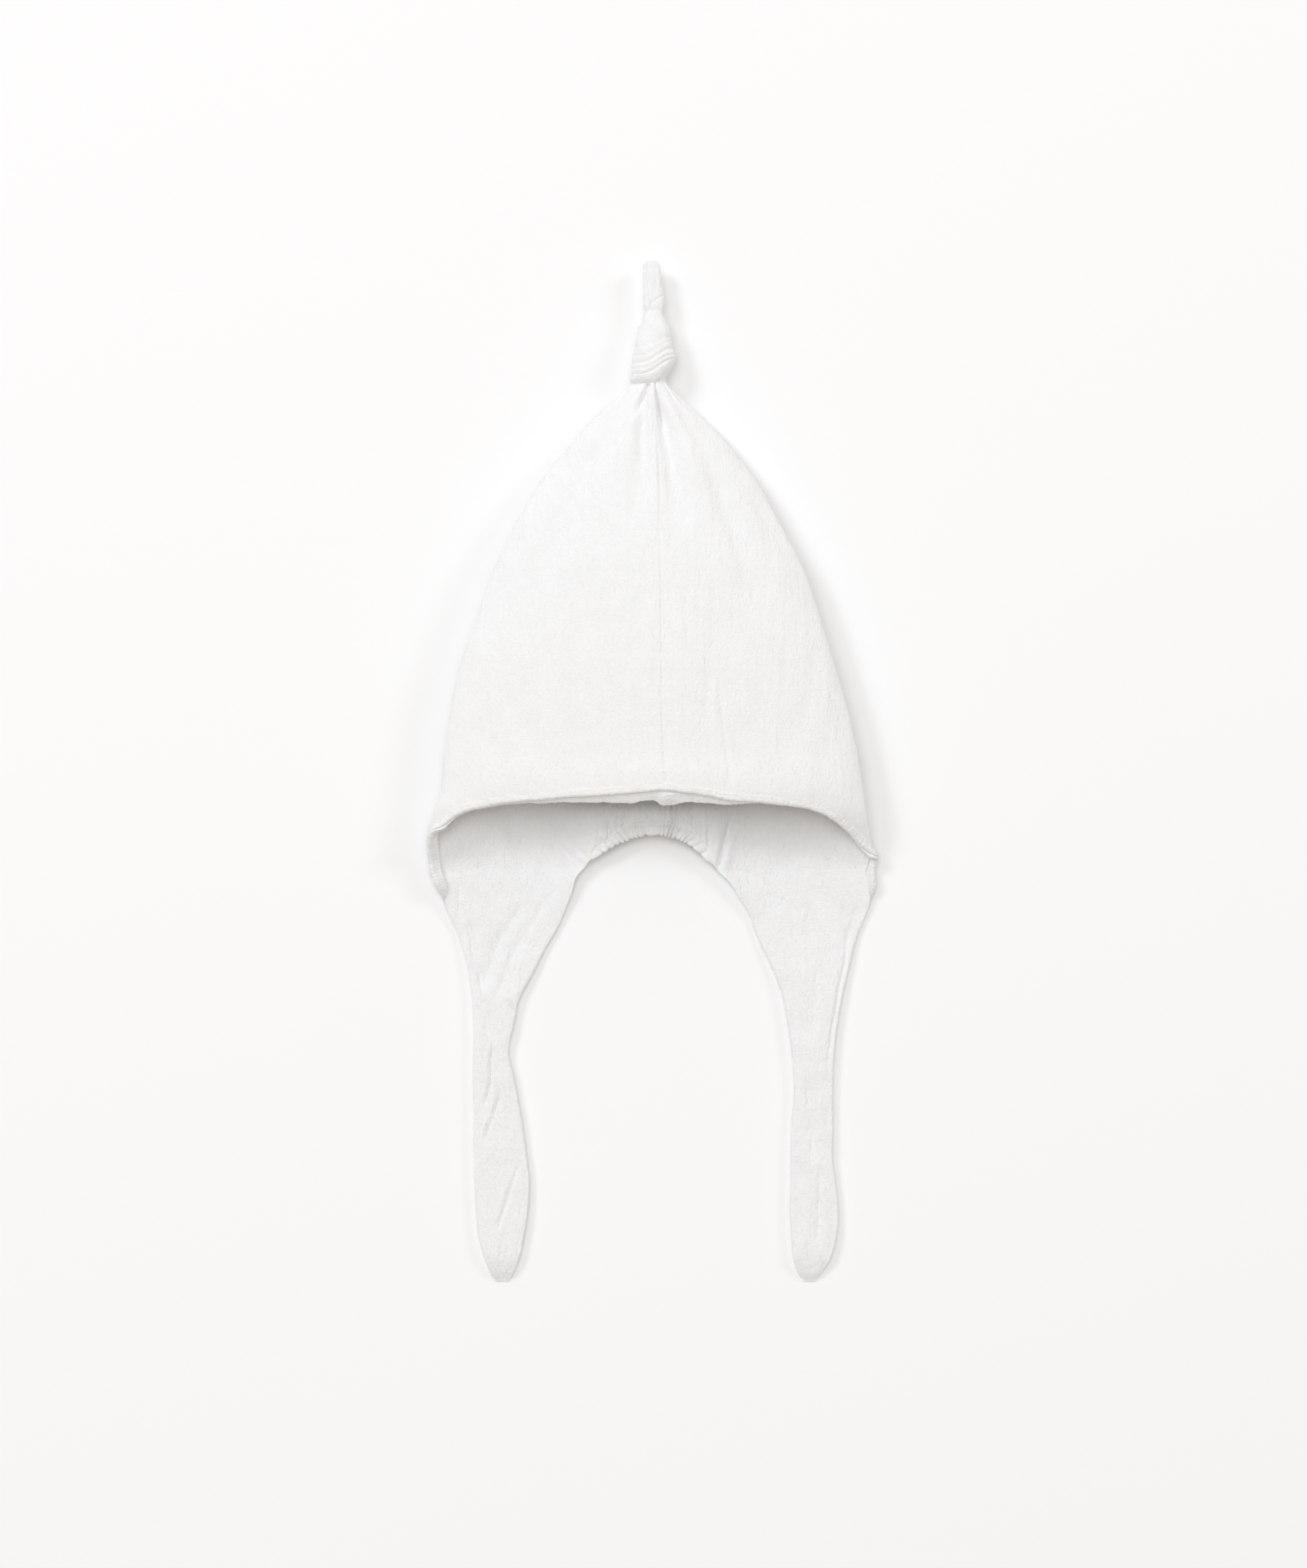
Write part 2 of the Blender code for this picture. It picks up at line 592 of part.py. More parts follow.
def build_nape_casing(material):
    """The gathered casing: a roll along the nape that swells at each ruffle."""
    path, outs, faces = [], [], []
    for side in (LEFT, RIGHT):
        around, points, off, normal = crown_edge(side)
        first = np.searchsorted(around, nape_corner_around() - 1e-9)
        middle = points[first:] - normal[first:] * CLOTH_WALL / 2
        group = (middle, off[first:], normal[first:])
        if side == RIGHT:
            group = tuple(values[::-1][1:] for values in group)
        path.append(group[0])
        outs.append(group[1])
        faces.append(group[2])
    path, outs, faces = (np.concatenate(values) for values in (path, outs, faces))
    length = np.concatenate([[0], np.cumsum(np.linalg.norm(np.diff(path, axis=0), axis=1))])
    ruffles = max(4, round(length[-1] / RUFFLE_PITCH))
    places = np.linspace(0.02, 0.98, ruffles * RINGS_PER_RUFFLE + 1)
    turns = (np.arange(CASING_SIDES) + 0.5) * 2 * np.pi / CASING_SIDES
    rings = []
    for place in places:
        at = place * length[-1]
        edge = np.array([np.interp(at, length, path[:, k]) for k in range(3)])
        out = unit(np.array([np.interp(at, length, outs[:, k]) for k in range(3)]))
        face = unit(np.array([np.interp(at, length, faces[:, k]) for k in range(3)]))
        swell = 1 - RUFFLE_DEPTH + RUFFLE_DEPTH * np.cos(2 * np.pi * ruffles * place)
        width = CASING_WIDTH * (1 - 0.70 * smooth(abs(2 * place - 1) / 0.9))
        thick = CASING_THICKNESS * (1 - 0.35 * (2 * place - 1) ** 2) * swell
        across = np.cos(turns) * width / 2
        across = (across - across.min()) * np.where(across > 0, swell, 1) + 2 * GAP
        ring = edge + np.outer(across, out) + np.outer(np.sin(turns), face) * thick / 2
        rings.append(ring)
    return loft("nape_casing", rings, material)


def bulge_rings(bulges, rows, sides, base_y, size, squareness):
    """Rings of the knot or its tail: rounded sections on a line that runs along the cap.

    size is the piece's width, length and thickness. Its middle is at half the knot's height.
    """
    width, length, thickness = size
    turns = np.linspace(0, 2 * np.pi, sides, endpoint=False)
    out, up = np.cos(turns), np.sin(turns)
    rings = []
    for along in np.linspace(0, 1, rows + 1):
        left, right, thick = (through(bulges, "along", name, along) for name in Bulge._fields[1:])
        reach = np.where(out > 0, right, left) * width
        x = NECK_X + reach * np.sign(out) * np.abs(out) ** squareness
        z = KNOT_THICKNESS / 2 + thickness / 2 * thick * np.sign(up) * np.abs(up) ** squareness
        y = np.full(sides, base_y + along * length)
        rings.append(np.stack([x, y, z], axis=-1))
    return rings


def build_top_knot(material):
    """The knot: a pear-shaped bulge with the slanting grooves of the cloth wrapped round it."""
    size = (KNOT_WIDTH, KNOT_LENGTH - GAP, KNOT_THICKNESS)
    rings = bulge_rings(KNOT_BULGES, KNOT_ROWS, KNOT_SIDES, KNOT_BASE_Y + GAP, size, 0.9)
    middle = np.array([NECK_X, KNOT_THICKNESS / 2])
    for along, ring in zip(np.linspace(0, 1, KNOT_ROWS + 1), rings):
        across = (ring[:, 0] - NECK_X) / (KNOT_WIDTH / 2)
        groove = np.zeros(len(ring))
        for wrap in KNOT_WRAPS:
            line = wrap.start + wrap.rise * smooth((across + 0.4) / 1.4)
            groove += wrap.depth * np.exp(-(((along - line) / KNOT_WRAP_WIDTH) ** 2))
        shrink = (1 - groove * smooth(along / 0.1))[:, None]
        ring[:, ::2] = middle + (ring[:, ::2] - middle) * shrink
    return loft("top_knot", rings, material, flip=True)


def build_knot_tail(material):
    """The tail: a flat double strip of cloth that leaves the knot at half its height."""
    size = (TAIL_WIDTH, TAIL_LENGTH - GAP, TAIL_THICKNESS)
    base_y = KNOT_BASE_Y + KNOT_LENGTH + GAP
    rings = bulge_rings(TAIL_BULGES, TAIL_ROWS, TAIL_SIDES, base_y, size, 0.8)
    return loft("knot_tail", rings, material, flip=True)


for old in list(bpy.data.objects):
    bpy.data.objects.remove(old)
CAP = bpy.data.collections.new("nightcap")
bpy.context.scene.collection.children.link(CAP)

CLOTH = muslin("white muslin", (0.87, 0.87, 0.87), 0.92)
HEM_CLOTH = muslin("hem muslin", (0.89, 0.89, 0.89), 0.90)
CASING_CLOTH = muslin("casing muslin", (0.85, 0.85, 0.84), 0.92)
for half in (LEFT, RIGHT):
    build_crown_half(half, CLOTH)
    build_ear_tie(half, CLOTH)
build_front_hem(HEM_CLOTH)
build_nape_casing(CASING_CLOTH)
build_top_knot(CLOTH)
build_knot_tail(CLOTH)
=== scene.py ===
"""Looks of an infant's peaked nightcap of crinkled white muslin, lying on its back.

Each side of the cap is one cloth that runs from the knotted peak down to the tip of a tie. The face
edge is rolled and stitched, the nape is gathered in a casing, and the peak is tied in a knot whose
tail stands out of it. Units are metres, +Z is up and +Y runs towards the tail.
"""

import logging
from dataclasses import dataclass, field
from enum import Enum
from typing import Any, Callable, NamedTuple, Sequence

import bmesh
import bpy
import numpy as np
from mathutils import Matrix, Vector
from numpy.typing import NDArray

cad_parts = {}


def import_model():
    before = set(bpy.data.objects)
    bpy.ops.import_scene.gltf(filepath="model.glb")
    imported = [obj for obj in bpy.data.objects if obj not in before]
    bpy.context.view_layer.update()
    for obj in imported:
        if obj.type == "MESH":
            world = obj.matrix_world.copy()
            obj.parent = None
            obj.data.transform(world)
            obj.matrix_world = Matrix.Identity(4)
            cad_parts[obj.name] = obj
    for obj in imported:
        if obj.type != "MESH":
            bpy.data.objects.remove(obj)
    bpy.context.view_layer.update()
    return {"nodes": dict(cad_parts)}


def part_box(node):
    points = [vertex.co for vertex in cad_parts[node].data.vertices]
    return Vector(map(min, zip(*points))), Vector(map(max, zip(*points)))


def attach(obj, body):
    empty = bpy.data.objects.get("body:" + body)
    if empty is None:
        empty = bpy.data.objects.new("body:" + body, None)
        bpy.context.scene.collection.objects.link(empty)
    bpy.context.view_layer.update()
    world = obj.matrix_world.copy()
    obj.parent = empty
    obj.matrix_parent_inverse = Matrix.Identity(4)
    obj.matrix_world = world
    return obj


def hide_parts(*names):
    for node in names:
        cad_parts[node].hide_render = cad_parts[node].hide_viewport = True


log = logging.getLogger("nightcap")
Array = NDArray[np.float64]
Numbers = NDArray[np.int64]
Triple = tuple[float, float, float]
UV_NAME = "cloth"
CRINKLE_NAME = "crinkle"
# Turns sharper than this keep a hard edge in the shading
SHARP_ANGLE = np.radians(62)
# How many places round a tube its map is eased over
AROUND_EASE = 10
# How far the knot reaches over the gap that the solids leave below it
KNOT_OVERLAP = 0.0003
# How far away the back's crinkles and its map are read, so that they differ from the front's
BACK_SHIFT = 1.0
BACK_MAP_SHIFT = 0.5


class Side(Enum):
    """A side of the cap, as seen from above."""

    LEFT = "left"
    RIGHT = "right"

    @property
    def sign(self) -> float:
        """-1 on the left and 1 on the right."""
        return -1.0 if self is Side.LEFT else 1.0


class Hold(Enum):
    """How a piece of cloth is held."""

    LAID = "laid"
    GATHERED = "gathered"
    FOLDED = "folded"


# Small numeric helpers


def smooth(x: Array | float) -> Array:
    """A smooth rise from 0 at x = 0 to 1 at x = 1."""
    t = np.clip(x, 0.0, 1.0)
    return t * t * (3 - 2 * t)


def unit(vectors: Array) -> Array:
    """The vectors at length 1."""
    return vectors / np.maximum(np.linalg.norm(vectors, axis=-1, keepdims=True), 1e-12)


def bump(x: Array | float, at: Array | float, half: Array | float, power: int = 2) -> Array:
    """A bump of height 1 at a place, which fades out over half on each side."""
    return np.exp(-(((x - at) / half) ** power))


def furrow(away: Array, sharp: float = 0.5, steep: float = 1.5) -> Array:
    """The cross section of a crease.

    Args:
        away: distance from its line, in widths of the crease.
        sharp: how much of it is a sharp V, where the rest is a soft hollow.
        steep: how fast the V closes.

    Returns:
        The depth at each place, where the line has 1.
    """
    return (1 - sharp) * bump(away, 0, 1) + sharp * np.exp(-steep * away)


def eased(values: Array, width: float) -> Array:
    """Rounds off the turns of a line.

    Args:
        values: the line's points or directions.
        width: how many steps the rounding spreads over.

    Returns:
        The eased line.
    """
    reach = int(np.ceil(3 * width))
    weights = np.exp(-((np.arange(-reach, reach + 1) / width) ** 2) / 2)
    padded = np.pad(values, ((reach, reach), (0, 0)), mode="reflect", reflect_type="odd")
    columns = [np.convolve(column, weights / weights.sum(), mode="valid") for column in padded.T]
    return np.stack(columns, axis=-1)


def even_path(parts: Sequence[Array], spacing: float) -> list[Array]:
    """Reads a line, and what goes with each of its points, again at even steps.

    Args:
        parts: the line's points first, then directions at them.
        spacing: the length of a step.

    Returns:
        The parts at the even places.
    """
    run = np.concatenate([[0], np.cumsum(np.linalg.norm(np.diff(parts[0], axis=0), axis=1))])
    at = np.linspace(0, run[-1], max(2, round(run[-1] / spacing)))
    return [np.stack([np.interp(at, run, part[:, k]) for k in range(3)], axis=-1) for part in parts]


def through(
    rows: Sequence[Any], key: str, name: str, x: Array | float, scale: Callable = lambda s: s
) -> Array:
    """Reads a smooth curve through one column of a table.

    Args:
        rows: the table's rows.
        key: the column that x is on.
        name: the column to read.
        x: where to read it.
        scale: turns key values and x into lengths, where their steps are uneven.

    Returns:
        The column's value at each x.
    """
    xs = scale(np.array([getattr(row, key) for row in rows]))
    ys = np.array([getattr(row, name) for row in rows])
    slopes = np.gradient(ys, xs)
    x = np.clip(scale(x), xs[0], xs[-1])
    i = np.clip(np.searchsorted(xs, x, side="right") - 1, 0, len(xs) - 2)
    span = xs[i + 1] - xs[i]
    t = (x - xs[i]) / span
    rise = ys[i] * (1 + 2 * t) * (1 - t) ** 2 + ys[i + 1] * (3 - 2 * t) * t**2
    return rise + span * (slopes[i] * t * (1 - t) ** 2 - slopes[i + 1] * (1 - t) * t**2)


@dataclass(frozen=True)
class Noise:
    """Smooth noise in space, from about -1 to 1, the same for the same seed."""

    seed: int
    cells: int = 256

    def __call__(self, x: Array, y: Array, z: Array | float = 0.0) -> Array:
        """Reads the noise, whose lumps are about one unit across.

        Args:
            x, y, z: coordinates, of one shape or single numbers.

        Returns:
            The noise at each place.
        """
        rng = np.random.default_rng(self.seed)
        order = np.tile(rng.permutation(self.cells), 2)
        slopes = unit(rng.normal(size=(self.cells, 3)))
        place = np.stack(np.broadcast_arrays(x, y, z), axis=-1).astype(float)
        cell = np.floor(place).astype(int)
        part = place - cell
        ease = part**3 * (part * (part * 6 - 15) + 10)
        cell = cell % self.cells
        total = np.zeros(place.shape[:-1])
        for corner in np.ndindex(2, 2, 2):
            index = (cell + np.array(corner)) % self.cells
            pick = order[order[order[index[..., 0]] + index[..., 1]] + index[..., 2]]
            reach = np.sum(slopes[pick] * (part - np.array(corner)), axis=-1)
            weight = np.prod(np.where(np.array(corner) == 1, ease, 1 - ease), axis=-1)
            total += reach * weight
        return total * 1.6


@dataclass(frozen=True)
class Crepe:
    """The crinkle of the muslin, as heights over its surface."""

    pitch: float = 0.0025
    run: float = 0.0130
    depth: float = 0.00016
    ripple_pitch: float = 0.0090
    ripple_run: float = 0.0400
    ripple_depth: float = 0.00030
    billow: float = 0.0380
    billow_depth: float = 0.00055
    seed: int = 11
    sway: float = 0.8
    crease: float = 1.6
    fine: float = 0.45
    fine_pitch: float = 0.52
    fine_run: float = 0.45

    def heights(self, across: Array, along: Array, deep: Array | float = 0.0) -> Array:
        """The crinkle's height.

        Args:
            across: distance across the ribs.
            along: distance along the ribs.
            deep: third coordinate, on a piece that is round.

        Returns:
            The height at each place.
        """
        bends, ribs, fines, ripples, billows = (Noise(self.seed + k) for k in range(5))
        pitch, run = self.pitch * self.fine_pitch, self.run * self.fine_run
        bend = bends(across / self.ripple_pitch, along / self.run, deep / self.run)
        rib = ribs(across / self.pitch + self.sway * bend, along / self.run, deep / self.pitch)
        fine = fines(across / pitch, along / run, deep / self.pitch)
        ripple = ripples(across / self.ripple_pitch, along / self.ripple_run, deep / self.ripple_run)
        billow = billows(across / self.billow, along / self.billow, deep / self.billow)
        height = self.depth * (0.5 - np.abs(rib) * self.crease + self.fine * fine)
        return height + self.ripple_depth * ripple + self.billow_depth * billow


# Shapes of the cap


class Section(NamedTuple):
    """A place down the crown: its half widths, height and seam, as shares of the crown's."""

    down: float
    left: float
    right: float
    height: float
    seam: float


class Edge(NamedTuple):
    """How far down the crown its face edge lies, at a share of the cloth round the face."""

    around: float
    left: float
    right: float


class Fold(NamedTuple):
    """A fold in the front of the crown. Its line and width are shares of the half width there."""

    side: Side
    starts: float
    ends: float
    line_from: float
    line_to: float
    width: float
    depth: float
    sharp: float


class Strap(NamedTuple):
    """A place down an ear flap and tie: its edges' way to the root, then from its centre line."""

    down: float
    outer_root: float
    inner_root: float
    outer: float
    inner: float


class CreasePoint(NamedTuple):
    """A point of a crease in a flap or tie, down its length and across it from the outer edge."""

    down: float
    across: float


class Crease(NamedTuple):
    """A crease in a flap or tie, through its points, with its width and depth."""

    side: Side
    points: tuple[CreasePoint, ...]
    width: float
    depth: float

    def line(self) -> tuple[Array, Array]:
        """The downs and the acrosses of its points."""
        downs, acrosses = np.array(self.points).T
        return downs, acrosses


class Bulge(NamedTuple):
    """A place along the knot or its tail, with its half widths and thickness as shares."""

    along: float
    left: float
    right: float
    thick: float


class Wrap(NamedTuple):
    """A turn of cloth on the knot: where its lower edge starts, and how far it rises."""

    start: float
    rise: float
    depth: float
    width: float


CROWN_SECTIONS = (
    Section(0.00, 0.022, -0.020, 0.00, 0.00),
    Section(0.03, 0.098, 0.039, 0.09, 0.05),
    Section(0.08, 0.217, 0.159, 0.22, 0.11),
    Section(0.16, 0.363, 0.318, 0.42, 0.22),
    Section(0.24, 0.497, 0.442, 0.59, 0.32),
    Section(0.34, 0.620, 0.561, 0.74, 0.43),
    Section(0.44, 0.722, 0.670, 0.85, 0.51),
    Section(0.55, 0.804, 0.749, 0.93, 0.55),
    Section(0.66, 0.887, 0.820, 0.98, 0.58),
    Section(0.78, 0.946, 0.895, 1.00, 0.61),
    Section(0.89, 0.981, 0.950, 1.00, 0.71),
    Section(1.00, 1.006, 0.986, 1.00, 1.00),
    Section(1.25, 1.048, 1.000, 0.88, 1.00),
    Section(1.50, 1.072, 1.020, 0.58, 1.00),
    Section(1.72, 1.056, 1.038, 0.24, 1.00),
    Section(1.86, 1.042, 1.048, 0.06, 1.00),
    Section(1.95, 1.037, 1.052, 0.01, 1.00),
    Section(2.00, 1.036, 1.053, 0.00, 1.00),
)
BROW_EDGE = (
    Edge(0.000, 0.974, 0.974),
    Edge(0.120, 0.986, 0.993),
    Edge(0.260, 0.998, 1.050),
    Edge(0.330, 1.015, 1.105),
    Edge(0.365, 1.045, 1.150),
    Edge(0.400, 1.090, 1.262),
    Edge(0.430, 1.130, 1.390),
    Edge(0.455, 1.195, 1.530),
    Edge(0.475, 1.310, 1.650),
    Edge(0.495, 1.580, 1.800),
    Edge(0.510, 2.000, 2.000),
)
CROWN_FOLDS = (
    Fold(Side.LEFT, -0.040, 0.100, 0.15, 0.36, 0.095, 0.0028, 0.15),
    Fold(Side.LEFT, 0.010, 0.330, 0.20, 0.10, 0.070, 0.0013, 0.00),
    Fold(Side.LEFT, 0.000, 0.260, 0.36, 0.30, 0.120, -0.0014, 0.00),
    Fold(Side.LEFT, 0.120, 0.560, 0.68, 0.72, 0.100, 0.0020, 0.00),
    Fold(Side.RIGHT, -0.060, 0.150, 0.13, 0.17, 0.080, 0.0022, 0.10),
    Fold(Side.RIGHT, 0.020, 0.400, 0.15, 0.20, 0.095, 0.0026, 0.00),
    Fold(Side.RIGHT, 0.020, 0.300, 0.42, 0.40, 0.110, -0.0014, 0.00),
    Fold(Side.RIGHT, 0.260, 0.480, 0.88, 0.90, 0.090, 0.0014, 0.00),
    Fold(Side.RIGHT, 0.180, 0.620, 0.56, 0.62, 0.090, 0.0016, 0.00),
    Fold(Side.RIGHT, 0.700, 1.060, 0.31, 0.33, 0.012, 0.0005, 0.40),
)
STRAPS = {
    Side.LEFT: (
        Strap(0.000, 1.000, 1.000, 0.418, 0.224),
        Strap(0.025, 0.850, 0.877, 0.418, 0.224),
        Strap(0.065, 0.705, 0.800, 0.418, 0.224),
        Strap(0.105, 0.564, 0.706, 0.418, 0.224),
        Strap(0.145, 0.388, 0.610, 0.418, 0.224),
        Strap(0.185, 0.264, 0.481, 0.418, 0.224),
        Strap(0.224, 0.159, 0.374, 0.418, 0.224),
        Strap(0.264, 0.088, 0.267, 0.418, 0.224),
        Strap(0.304, 0.035, 0.150, 0.418, 0.224),
        Strap(0.364, 0.000, 0.075, 0.418, 0.224),
        Strap(0.442, 0.000, 0.000, 0.418, 0.224),
        Strap(0.502, 0.000, 0.000, 0.430, 0.318),
        Strap(0.581, 0.000, 0.000, 0.418, 0.430),
        Strap(0.661, 0.000, 0.000, 0.416, 0.522),
        Strap(0.740, 0.000, 0.000, 0.403, 0.592),
        Strap(0.820, 0.000, 0.000, 0.373, 0.582),
        Strap(0.900, 0.000, 0.000, 0.306, 0.485),
        Strap(0.950, 0.000, 0.000, 0.190, 0.395),
        Strap(0.985, 0.000, 0.000, 0.090, 0.290),
        Strap(1.000, 0.000, 0.000, 0.000, 0.200),
    ),
    Side.RIGHT: (
        Strap(0.000, 1.000, 1.000, 0.418, 0.358),
        Strap(0.025, 1.075, 0.840, 0.418, 0.358),
        Strap(0.065, 0.975, 0.690, 0.418, 0.358),
        Strap(0.105, 0.816, 0.560, 0.418, 0.358),
        Strap(0.145, 0.647, 0.483, 0.418, 0.358),
        Strap(0.185, 0.511, 0.393, 0.418, 0.358),
        Strap(0.224, 0.418, 0.290, 0.418, 0.358),
        Strap(0.264, 0.304, 0.190, 0.418, 0.358),
        Strap(0.304, 0.209, 0.120, 0.418, 0.358),
        Strap(0.343, 0.133, 0.080, 0.418, 0.358),
        Strap(0.442, 0.000, 0.000, 0.418, 0.358),
        Strap(0.541, 0.000, 0.000, 0.388, 0.313),
        Strap(0.621, 0.000, 0.000, 0.388, 0.358),
        Strap(0.700, 0.000, 0.000, 0.388, 0.373),
        Strap(0.760, 0.000, 0.000, 0.440, 0.373),
        Strap(0.820, 0.000, 0.000, 0.490, 0.388),
        Strap(0.890, 0.000, 0.000, 0.460, 0.362),
        Strap(0.950, 0.000, 0.000, 0.320, 0.310),
        Strap(0.985, 0.000, 0.000, 0.150, 0.210),
        Strap(1.000, 0.000, 0.000, 0.060, 0.130),
    ),
}


def crease(side: Side, width: float, depth: float, *points: tuple[float, float]) -> Crease:
    """A crease through pairs of down and across."""
    return Crease(side, tuple(CreasePoint(*point) for point in points), width, depth)


STRAP_CREASES = (
    crease(
        Side.LEFT, 0.0010, 0.0012, (0.03, 0.11), (0.131, 0.134), (0.219, 0.115), (0.293, 0.21), (0.394, 0.39)
    ),
    crease(Side.LEFT, 0.0009, 0.0017, (0.43, 0.53), (0.518, 0.41), (0.57, 0.24)),
    crease(Side.LEFT, 0.0009, 0.0015, (0.54, 0.62), (0.635, 0.27), (0.66, 0.20)),
    crease(Side.LEFT, 0.0013, 0.0012, (0.72, 0.80), (0.80, 0.60), (0.87, 0.42)),
    crease(Side.LEFT, 0.0011, 0.0015, (0.320, 0.76), (0.347, 0.98)),
    crease(Side.LEFT, 0.0009, 0.0010, (0.170, 0.72), (0.195, 0.88)),
    crease(Side.LEFT, 0.0040, 0.0012, (0.09, 0.62), (0.18, 0.42), (0.29, 0.22)),
    crease(Side.LEFT, 0.0030, 0.0008, (0.05, 0.86), (0.18, 0.66), (0.31, 0.50)),
    crease(Side.RIGHT, 0.0010, 0.0014, (0.001, 0.99), (0.005, 0.87), (0.012, 0.78), (0.03, 0.74)),
    crease(Side.RIGHT, 0.0013, 0.0010, (0.060, 0.74), (0.080, 0.66), (0.100, 0.47)),
    crease(Side.RIGHT, 0.0010, 0.0014, (0.10, 0.10), (0.22, 0.07), (0.34, 0.08), (0.46, 0.13)),
    crease(Side.RIGHT, 0.0014, 0.0010, (0.08, 0.22), (0.14, 0.12), (0.19, 0.09)),
    crease(Side.RIGHT, 0.0045, 0.0010, (0.13, 0.55), (0.25, 0.42), (0.40, 0.50)),
    crease(Side.RIGHT, 0.0018, 0.0012, (0.50, 0.70), (0.62, 0.50), (0.70, 0.46)),
    crease(Side.RIGHT, 0.0015, 0.0010, (0.72, 0.30), (0.82, 0.42), (0.90, 0.40)),
)
NAPE_CREASES = (
    crease(Side.RIGHT, 0.0012, 0.0026, (0.25, 1.16), (0.60, 1.04), (0.93, 0.95)),
    crease(Side.RIGHT, 0.0030, -0.0006, (0.20, 1.30), (0.60, 1.14), (0.93, 1.01)),
    crease(Side.RIGHT, 0.0018, 0.0009, (0.35, 0.86), (0.60, 0.78), (0.78, 0.74)),
    crease(Side.RIGHT, 0.0016, 0.0008, (0.15, 0.62), (0.45, 0.55), (0.62, 0.54)),
    crease(Side.RIGHT, 0.0011, 0.0006, (0.10, 0.42), (0.50, 0.38)),
    crease(Side.LEFT, 0.0014, 0.0007, (0.62, -1.45), (0.80, -1.22), (0.90, -1.08)),
    crease(Side.LEFT, 0.0040, 0.0009, (0.25, -1.50), (0.60, -1.25), (0.80, -1.00)),
    crease(Side.LEFT, 0.0030, 0.0007, (0.10, -0.80), (0.50, -0.74)),
    crease(Side.LEFT, 0.0013, 0.0006, (0.05, -0.52), (0.45, -0.48)),
    crease(Side.LEFT, 0.0050, 0.0012, (0.10, -2.20), (0.60, -2.05), (0.95, -1.90)),
    crease(Side.RIGHT, 0.0050, 0.0010, (0.20, 2.10), (0.60, 2.20), (0.95, 2.00)),
)
KNOT_BULGES = (
    Bulge(0.000, 0.440, 0.240, 0.62),
    Bulge(0.070, 0.505, 0.350, 0.80),
    Bulge(0.157, 0.500, 0.450, 0.94),
    Bulge(0.270, 0.480, 0.505, 1.00),
    Bulge(0.393, 0.454, 0.530, 1.00),
    Bulge(0.584, 0.398, 0.450, 0.90),
    Bulge(0.810, 0.306, 0.360, 0.68),
    Bulge(0.920, 0.235, 0.265, 0.50),
    Bulge(1.000, 0.200, 0.205, 0.40),
)
KNOT_WRAPS = (
    Wrap(0.17, 0.16, 0.050, 0.022),
    Wrap(0.24, 0.18, 0.028, 0.016),
    Wrap(0.31, 0.20, 0.045, 0.022),
    Wrap(0.41, 0.20, 0.020, 0.016),
    Wrap(0.53, 0.14, 0.030, 0.030),
)
TAIL_BULGES = (
    Bulge(0.000, 0.365, 0.440, 0.80),
    Bulge(0.160, 0.450, 0.545, 1.00),
    Bulge(0.330, 0.465, 0.530, 1.00),
    Bulge(0.500, 0.460, 0.445, 0.95),
    Bulge(0.700, 0.460, 0.385, 0.90),
    Bulge(0.850, 0.460, 0.340, 0.80),
    Bulge(0.950, 0.455, 0.270, 0.70),
    Bulge(0.985, 0.430, 0.220, 0.60),
    Bulge(1.000, 0.370, 0.160, 0.45),
)
TIE_CREPE = Crepe(
    pitch=0.0021,
    run=0.0048,
    depth=0.00022,
    ripple_pitch=0.0075,
    ripple_run=0.013,
    ripple_depth=0.00046,
)
KNOT_CREPE = Crepe(
    pitch=0.0022,
    run=0.0080,
    depth=0.00012,
    ripple_pitch=0.0060,
    ripple_run=0.014,
    ripple_depth=0.00025,
    billow=0.03,
    billow_depth=0.0002,
)


# Shader maths


@dataclass(frozen=True)
class Socket:
    """A shader socket that takes part in Python expressions."""

    graph: "Graph"
    socket: bpy.types.NodeSocket

    def _with(self, operation: str, other: Any, flipped: bool = False) -> "Socket":
        """A Math node on this socket and another value, in either order."""
        pair = (other, self) if flipped else (self, other)
        return self.graph.add("ShaderNodeMath", {"operation": operation}, {0: pair[0], 1: pair[1]})

    def __add__(self, other: Any) -> "Socket":
        """The sum."""
        return self._with("ADD", other)

    def __radd__(self, other: Any) -> "Socket":
        """The sum, from the right."""
        return self._with("ADD", other, True)

    def __sub__(self, other: Any) -> "Socket":
        """The difference."""
        return self._with("SUBTRACT", other)

    def __rsub__(self, other: Any) -> "Socket":
        """The difference, from the right."""
        return self._with("SUBTRACT", other, True)

    def __mul__(self, other: Any) -> "Socket":
        """The product."""
        return self._with("MULTIPLY", other)

    def __rmul__(self, other: Any) -> "Socket":
        """The product, from the right."""
        return self._with("MULTIPLY", other, True)

    def absolute(self) -> "Socket":
        """The size, without its sign."""
        return self.graph.add("ShaderNodeMath", {"operation": "ABSOLUTE"}, {0: self})


